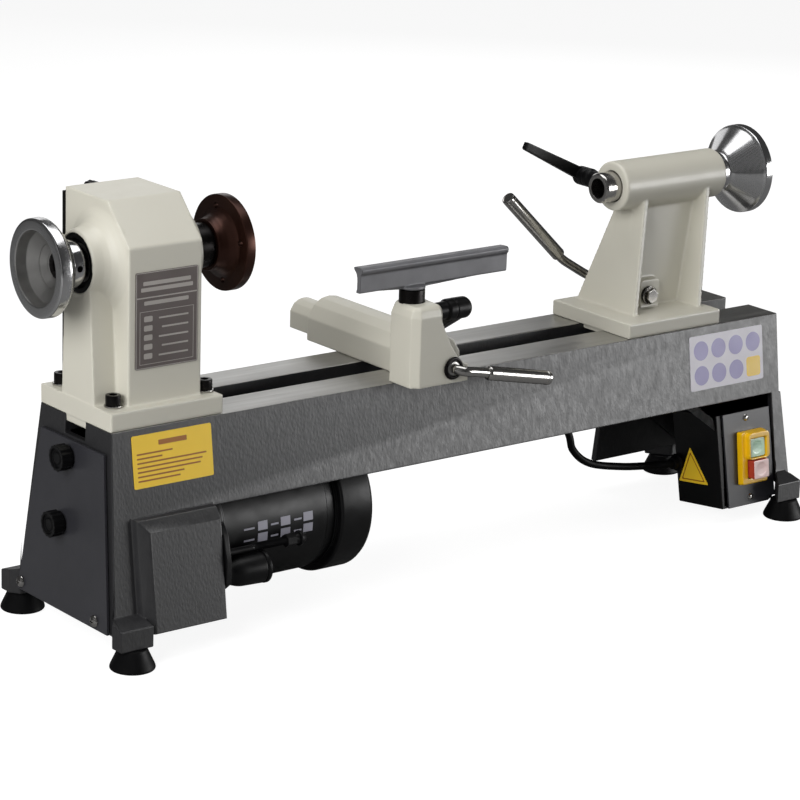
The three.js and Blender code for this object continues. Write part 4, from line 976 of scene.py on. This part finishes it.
def banjo_cam():
    place_at = (BANJO_X, 0, CAM_Z)
    stand_for("banjo_lever", bent_lever(
        place_at, (0, -84.3, 0), (0, -87.6, 0), (4.5, -92.4, -1), (16, -93, -3), (32, -93, -6.4),
        (28, -93, -5.6), (96.5, -93, -20.2)))
    shaft = rounded([(-83.8, 0), (-83.8, 5.8, 1), (-82, 6.9, 0.6), (122, 7, 0.8), (122, 0)], 0.4)
    stand_for("banjo_cam_rod", revolve(shaft, "y", place_at))
    ring = rounded([(-84, 7.1), (-84, 9.4, 0.9), (-82.1, 9.9, 0.5), (-82.1, 7.1)], 0.3, 4)
    detail("banjo_cam_ring", "banjo_cam_rod", revolve(ring, "y", place_at), "black_oxide")


def clamp(name, x, z, bore, body_node, with_nut):
    eased(f"{name}_clamp_plate", 1.2)
    shank = rod("z", (x, 0, 0), CLAMP_TOP - 22, z - 8, 6)
    eye = revolve(rounded([(-9, 0), (-9, 12.4, 1.2), (9, 12.4, 1.2), (9, 0)], 0.5), "y", (x, 0, z))
    shape = carve(join(shank, eye), rod("y", (x, 0, z), -15, 15, bore))
    nut = prism(shifted(ngon(6, 19), x, 0), "z", CLAMP_TOP - 19, CLAMP_TOP - 9.3)
    if with_nut:
        stand_for(body_node, join(shape, nut), bevel=0.5)
        return
    stand_for(body_node, shape, bevel=0.4)
    hole = rod("z", (x, 0, 0), CLAMP_TOP - 30, CLAMP_TOP, 6.2)
    stand_for(f"{name}_clamp_nut", carve(nut, hole), bevel=0.6)


def tool_rest():
    low, high = WAYS_Z + 83.2, WAYS_Z + 105
    front = POST[1] - 3.4
    section = at(
        front, (0, low, 0.8), (-0.2, high - 6.4, 0.4), (-1.9, high - 5.2, 0.8), (-2.4, high - 1.6, 1.2),
        (-0.4, high, 1), (9.6, high - 0.6, 1.2), (9.2, high - 2.6, 1.2), (5.6, high - 5.6, 3),
        (4.4, high - 10.5, 3), (4.6, low + 3, 1.6), (5.8, low + 0.4, 0.8), (5.2, low - 0.4, 0.5))
    blade = prism(rounded(section, 0.6, 4, turned=False), "x", 238, 394)
    rib = hull([(x, front + y, z) for x, y, z in (
        (242, 1.2, low + 1), (242, 4.4, low + 1), (390, 1.2, low + 1), (390, 4.4, low + 1),
        (286, 0.6, low - 2.4), (286, 6, low - 2.4), (306, 0.6, low - 2.4), (306, 6, low - 2.4))])
    seat = revolve([(low - 2.6, 0), (low - 2.6, 11.2), (low - 0.2, 11.2), (low + 0.6, 0)], "z", (*POST, 0))
    shape = cast([blade, rib, seat], voxel=0.55, passes=3)
    stand_for("tool_rest", shape)
    post = rounded([(WAYS_Z + 12, 0), (WAYS_Z + 12, 11, 1), (low - 3, 11, 0.8), (low - 3, 0)], 0.4)
    stand_for("tool_rest_post", revolve(post, "z", (*POST, 0)), "black_oxide")


def tapering(centre, across, direction, side, stations):
    """A bar along a direction. A station is the way along, half the width, and the bar's two faces."""
    return hull([centre + AXES[across] * face + direction * along + side * width * sign
                 for along, width, *faces in stations for sign in (-1, 1) for face in faces])


def ratchet(node, axis, centre, stud, neck, low, high, arm):
    """A ratchet lever: a stud, a turned hub with grooves and a domed end, and a tapering arm."""
    profile = rounded([
        (stud, 0), (stud, 4), *at(neck, (0, 4), (0, 7, 0.8), (3, 7.4, 0.5), (3.4, 6.6, 0.3), (4.2, 7.4, 0.5)),
        *at(low, (0, 7.6, 0.5), (1.2, 9.3, 1), (8, 9.4, 0.4), (8.6, 8.7, 0.3), (9.2, 9.4, 0.4)),
        *at(high, (-4, 9.3, 2), (-0.8, 6.6, 1.6), (0, 3.6, 0.8), (0, 0)),
    ], 0.4, 4)
    stand_for(node, cast([revolve(profile, axis, centre), arm], voxel=0.42, passes=2))


def rest_lock():
    direction = Vector((0, cos(-0.6), sin(-0.6)))
    side = Vector((0, -direction.z, direction.y))
    centre = Vector((0, POST[1], LOCK_Z))
    stations = ((0, 6.8, 344, 355), (20, 5.6, 346, 355), (52, 4.6, 348.5, 356), (58, 3.2, 349.5, 355))
    arm = tapering(centre, "x", direction, side, stations)
    ratchet("tool_rest_lock", "x", centre, POST[0] + 11.6, 317, 330, 356, arm)


# ---- tailstock

BASE_TOP = WAYS_Z + 13.5
TAIL_X = 598.0
TAIL_CAM_Z = 212.5


def rib(x0, x1, foot, top, lean=19):
    """A tapering plate under the barrel. It leans towards the handwheel."""
    points = []
    for x in (x0, x1):
        points += [(x, y, BASE_TOP - 2) for y in foot]
        points += [(x + lean, y, AXIS_Z - 4) for y in top]
    return hull(points)


def tailstock():
    barrel = rounded([(561, 0), (561, 22.3, 2.6), (681, 22.3, 1.8), (681, 0)], 0.5, 5)
    web = levels((AXIS_Z, (585, 660), (-6, 9)), (BASE_TOP - 2, (568, 642), (-9, 22)))
    boss = rectangle(589, 612, BASE_TOP - 1, WAYS_Z + 39.6, 5, 6)
    adds = [
        block((543.5, 653), (-WAYS_HALF, WAYS_HALF), (WAYS_Z + GAP, BASE_TOP)),
        block((548, 648), (-GUIDE_HALF, GUIDE_HALF), (WAYS_Z - 5, WAYS_Z + 3)),
        rib(566.5, 571.5, (-32, 47.5), (-18.5, 11)), rib(638.5, 643.5, (-37.5, 47.5), (-20.5, 11)), web,
        prism(boss, "y", -14.5, 5),
        revolve(barrel, segments=128),
    ]
    cuts = [
        block((TAIL_X - 15, TAIL_X + 14), (-9.5, 11.5), (WAYS_Z - 10, TAIL_CAM_Z + 12.9)),
        rod("x", AXIS, 555, 672, 14.1),
        rod("x", AXIS, 660, 690, 8.3),
        rod("y", (TAIL_X, 0, TAIL_CAM_Z), -30, 50, 7.4),
        rod("y", (568, 0, AXIS_Z), 10, 30, 4.4),
    ]
    stand_for("tailstock", cast(adds, cuts, voxel=0.9, passes=4))


def tail_cam():
    centre = (TAIL_X, 0, TAIL_CAM_Z)
    shaft = rod("y", centre, -17.6, 59, 7, 64, 0.8)
    head = prism(shifted(ngon(6, 11.4, 0.3), TAIL_X, TAIL_CAM_Z), "y", -22, -17.8)
    ring = rounded([(-18.4, 0), (-18.4, 8.2, 0.5), (-16.2, 8.2, 0.5), (-16.2, 0)], 0.3)
    collar = revolve(ring, "y", centre)
    stand_for("tailstock_cam_shaft", join(shaft, head, collar), bevel=0.5)
    stand_for("tailstock_lever", bent_lever(
        centre, (0, 59.9, 0), (0, 62.5, 0), (-7, 66.5, 4), (-22, 67, 13), (-33, 67, 20), (-44, 67, 30),
        (-37, 67, 24), (-101, 67, 85)))


def quill():
    centre = AXIS
    profile = rounded([
        (544.5, 9, 0.4), (544.5, 12.4, 0.4), (546, 13.6, 0.8), (657, 13.6), (657, 5.9), (602, 5.9),
        (602, 7.2),
    ], 0.3, 4)
    groove = block((552, 640), (-1.8, 1.8), (AXIS_Z - 16, AXIS_Z - 11.4))
    stand_for("quill", carve(revolve(profile, "x", centre), groove))
    screw = [(606, 0)]
    turns = 34
    for i in range(turns):
        x = 606.5 + 66 * i / turns
        screw += [(x, 4.8), (x + 0.97, 5.4)]
    screw += [(673, 5.4), (673, 8, 0.5), (681.2, 8, 0.4), (681.2, 6.6), (714, 6.6, 0.8), (714, 0)]
    stand_for("quill_screw", revolve(rounded(screw, 0.2, 2), "x", centre))
    wheel = rounded([
        (681.6, 6.9), (681.6, 15.6, 0.8), (684, 17, 1.2), (690, 17, 1.2), (692, 19.6, 1.2),
        (711.4, 38.2, 0.8), (712.8, 40.2, 0.8), (714, 40.5, 0.6), (720.6, 40.5, 1), (721.5, 39, 0.6),
        (721.5, 36.6, 0.6),
        (719.4, 34.6, 1), (715, 20, 3), (713, 14, 1), (713, 6.9),
    ], 0.4, 5)
    stand_for("tail_handwheel", revolve(wheel, "x", centre, 144))
    nut = prism(shifted(ngon(6, 11, 0.2), 0, AXIS_Z), "x", 712.6, 718.6)
    detail("tail_wheel_nut", "tail_handwheel", nut, "black_oxide", bevel=0.6)


def quill_lock():
    centre = Vector((566, 0, 316))
    direction = Vector((-cos(0.457), 0, sin(0.457)))
    side = Vector((-direction.z, 0, direction.x))
    stations = ((0, 5.6, 46.4, 54), (10, 5, 48, 54.5), (70, 3.7, 49.5, 54.5), (72, 3, 50, 54))
    profile = rounded([
        (14.3, 0), (14.3, 4), (23, 4), (23, 7, 0.8), (26, 7.4, 0.5), (26.4, 6.6, 0.3), (27.2, 7.4, 0.5),
        (34, 7.6, 0.5), (35, 8.6, 0.8), (40, 8.6, 0.4), (40.6, 8, 0.3), (41.2, 8.6, 0.4), (46, 8.6, 0.4),
        (46.6, 8, 0.3), (47.2, 8.6, 0.4), (52, 8.5, 1.6), (54.4, 6.2, 1.4), (55, 3.2, 0.8), (55, 0),
    ], 0.4, 4)
    hub = revolve(profile, "y", (568, 0, AXIS_Z))
    arm = tapering(centre, "y", direction, side, stations)
    stand_for("quill_lock_lever", cast([hub, arm], voxel=0.42, passes=2))


# ---- plates and stickers, with no lettering

def on_front(x, z, lift):
    """A spot on the bed's leaning front."""
    return (x, -half(z) - lift, z)


def on_head(x, z, lift):
    return (x, FRONT_Y - lift, z)


def card(x0, x1, z0, z1, low, high, where, corner=1):
    return moved(prism(rectangle(x0, x1, z0, z1, corner, 4), "z", low, high), where)


def disc(x, z, radius, low, high, where, steps=40):
    return moved(prism(shifted(circle(radius, steps), x, z), "z", low, high), where)


def stickers():
    detail("yellow_sticker", "bed", card(18, 94, 139, 181.5, 0.05, 0.4, on_front, 1.6), "yellow_sheet")
    bars = [card(43, 70, 171.5, 175.5, 0.35, 0.5, on_front, 0.6)]
    for row, length in enumerate((34, 24, 66, 62, 60, 44, 40)):
        z = 165.6 - 3.6 * row
        bars.append(card(22, 22 + length, z, z + 1.3, 0.35, 0.48, on_front, 0.3))
    detail("yellow_sticker_print", "bed", join(*bars), "brown_ink")
    detail("pale_sticker", "bed", card(615, 705, 129.5, 179, 0.05, 0.4, on_front, 2), "lilac_sheet")
    tiles = [disc(620 + 21.4 * column + 8.7, 133.5 + 22.6 * row + 9, 8.8, 0.35, 0.5, on_front)
             for column in range(4) for row in range(2) if (column, row) != (3, 0)]
    detail("pale_sticker_print", "bed", join(*tiles), "violet_ink")
    tile = card(620 + 64.2, 620 + 81.4, 133.5, 151.5, 0.35, 0.5, on_front, 3)
    detail("pale_sticker_patch", "bed", tile, "yellow_sheet")


def rating_plate():
    detail("rating_plate", "headstock", card(28, 87, 232, 311, 0, 0.7, on_head, 1.8), "plate_dark")
    lines = []
    for x0, x1, z0, z1 in ((28.4, 86.6, 310.1, 310.7), (28.4, 86.6, 232.4, 233), (28.4, 29, 232.4, 310.7),
                           (86, 86.6, 232.4, 310.7), (28.4, 86.6, 289.6, 290.6), (32, 83, 278.6, 279),
                           (32, 83, 235.6, 236), (32, 32.4, 235.6, 279), (82.6, 83, 235.6, 279)):
        lines.append(card(x0, x1, z0, z1, 0.6, 0.85, on_head, 0.1))
    for x0, x1, z in ((35, 80, 300), (33, 82, 295), (36, 78, 284)):
        lines.append(card(x0, x1, z, z + 3.2, 0.6, 0.82, on_head, 0.8))
    for row in range(5):
        z = 240.0 + 7.6 * row
        lines.append(card(36, 44, z, z + 4.6, 0.6, 0.8, on_head, 1.2))
        lines.append(card(50 + 3 * (row % 2), 78, z + 1.4, z + 2.8, 0.6, 0.8, on_head, 0.5))
    detail("rating_plate_print", "headstock", join(*lines), "plate_pale")


# ---- everything in place

for make in (bed, feet, end_cover, headstock, head_bolts, bearings, belt_door, spindle):
    make()
pulley("spindle_pulley", (20, 24, 28, 32, 36), AXIS_Z, 12.4)
pulley("motor_pulley", (36, 32, 28, 24, 20), MOTOR_Z, 7.3)
for make in (handwheel, faceplate, drive_belt, motor, motor_handles, motor_label, switch, cable,
             banjo, banjo_cam):
    make()
clamp("banjo", BANJO_X, CAM_Z, 7.6, "banjo_clamp_bolt", False)
clamp("tailstock", TAIL_X, TAIL_CAM_Z, 9.4, "tailstock_clamp_bolt", True)
for make in (tool_rest, rest_lock, tailstock, tail_cam, quill, quill_lock, stickers, rating_plate):
    make()


# ---- stage, light and camera

def ray_switch(tree, otherwise, camera_value):
    """A number that is one thing where the camera looks and another for the light that is sent."""
    rays = tree.nodes.new("ShaderNodeLightPath")
    mix = tree.nodes.new("ShaderNodeMapRange")
    tree.links.new(rays.outputs["Is Camera Ray"], mix.inputs["Value"])
    mix.inputs["To Min"].default_value = otherwise
    mix.inputs["To Max"].default_value = camera_value
    return mix.outputs["Result"]


def floor():
    mesh = bpy.data.meshes.new("floor")
    mesh.from_pydata([(-9, -9, 0), (9, -9, 0), (9, 9, 0), (-9, 9, 0)], [], [(0, 1, 2, 3)])
    white = Finish("floor_white", "8a8a8a", 0.8, specular=0.05).tint(2, 0.01).grain(60, 0.02)
    white.shader.inputs["Emission Color"].default_value = (1, 1, 1, 1)
    white.set("Emission Strength", ray_switch(white.tree, 0, 0.9))
    mesh.materials.append(white.material)
    in_scene("floor", mesh)


def world(seen, cast_light):
    """A white room: one brightness where it is looked at, and another for the light it sends."""
    made = bpy.data.worlds.new("room")
    bpy.context.scene.world = made
    made.use_nodes = True
    tree = made.node_tree
    shader = tree.nodes["Background"]
    shader.inputs["Color"].default_value = (1, 1, 1, 1)
    tree.links.new(ray_switch(tree, cast_light, seen), shader.inputs["Strength"])


def panel(name, place_at, aim, size, power, diffuse=True, glossy=True):
    lamp = assign(bpy.data.lights.new(name, "AREA"), shape="RECTANGLE", size=size[0], size_y=size[1],
                  energy=power)
    turn = (Vector(aim) - Vector(place_at)).to_track_quat("-Z", "Y")
    assign(in_scene(name, lamp), visible_diffuse=diffuse, visible_glossy=glossy, location=place_at,
           rotation_mode="QUATERNION", rotation_quaternion=turn)


def camera():
    """The viewpoint: in front of the headstock end, looking a little down along the bed."""
    turn, dip, roll = (radians(a) for a in (38.061, 16.152, 1.756))
    ahead = Vector((sin(turn) * cos(dip), cos(turn) * cos(dip), -sin(dip)))
    level = Vector((cos(turn), -sin(turn), 0))
    upward = level.cross(ahead)
    right = level * cos(roll) + upward * sin(roll)
    up = upward * cos(roll) - level * sin(roll)
    data = assign(bpy.data.cameras.new("camera"), sensor_width=36, lens=143.9, clip_end=50)
    eye = in_scene("camera", data)
    rotation = Matrix((right, up, -ahead)).transposed()
    eye.matrix_world = Matrix.Translation(TO_FRAME @ Vector((-1305.87, -2087.68, 918.96))) @ rotation.to_4x4()
    bpy.context.scene.camera = eye


floor()
world(1, 0.06)
KEY = (-1.9, -0.6, 1.05), (-0.1, 0, 0.2), (1.7, 1.4)
panel("key", *KEY, 43, glossy=False)
panel("key_glow", *KEY, 25, diffuse=False)
panel("back", (1.7, 1.7, 1), (0, 0, 0.2), (1.4, 1.1), 9, glossy=False)
panel("top", (0.1, 0.1, 1.9), (0, 0, 0.2), (1.8, 1.2), 17)
panel("fill", (0.5, -2.4, 0.9), (0.1, 0, 0.2), (1.4, 0.9), 7, glossy=False)
panel("sheen", (1.75, -1.4, 0.36), (0.3, 0, 0.15), (1.5, 0.72), 33, diffuse=False)
panel("ways_sheen", (1, 2.1, 0.9), (0, 0, 0.2), (1.4, 1.1), 5, diffuse=False)
camera()
bpy.context.scene.view_settings.view_transform = "Standard"
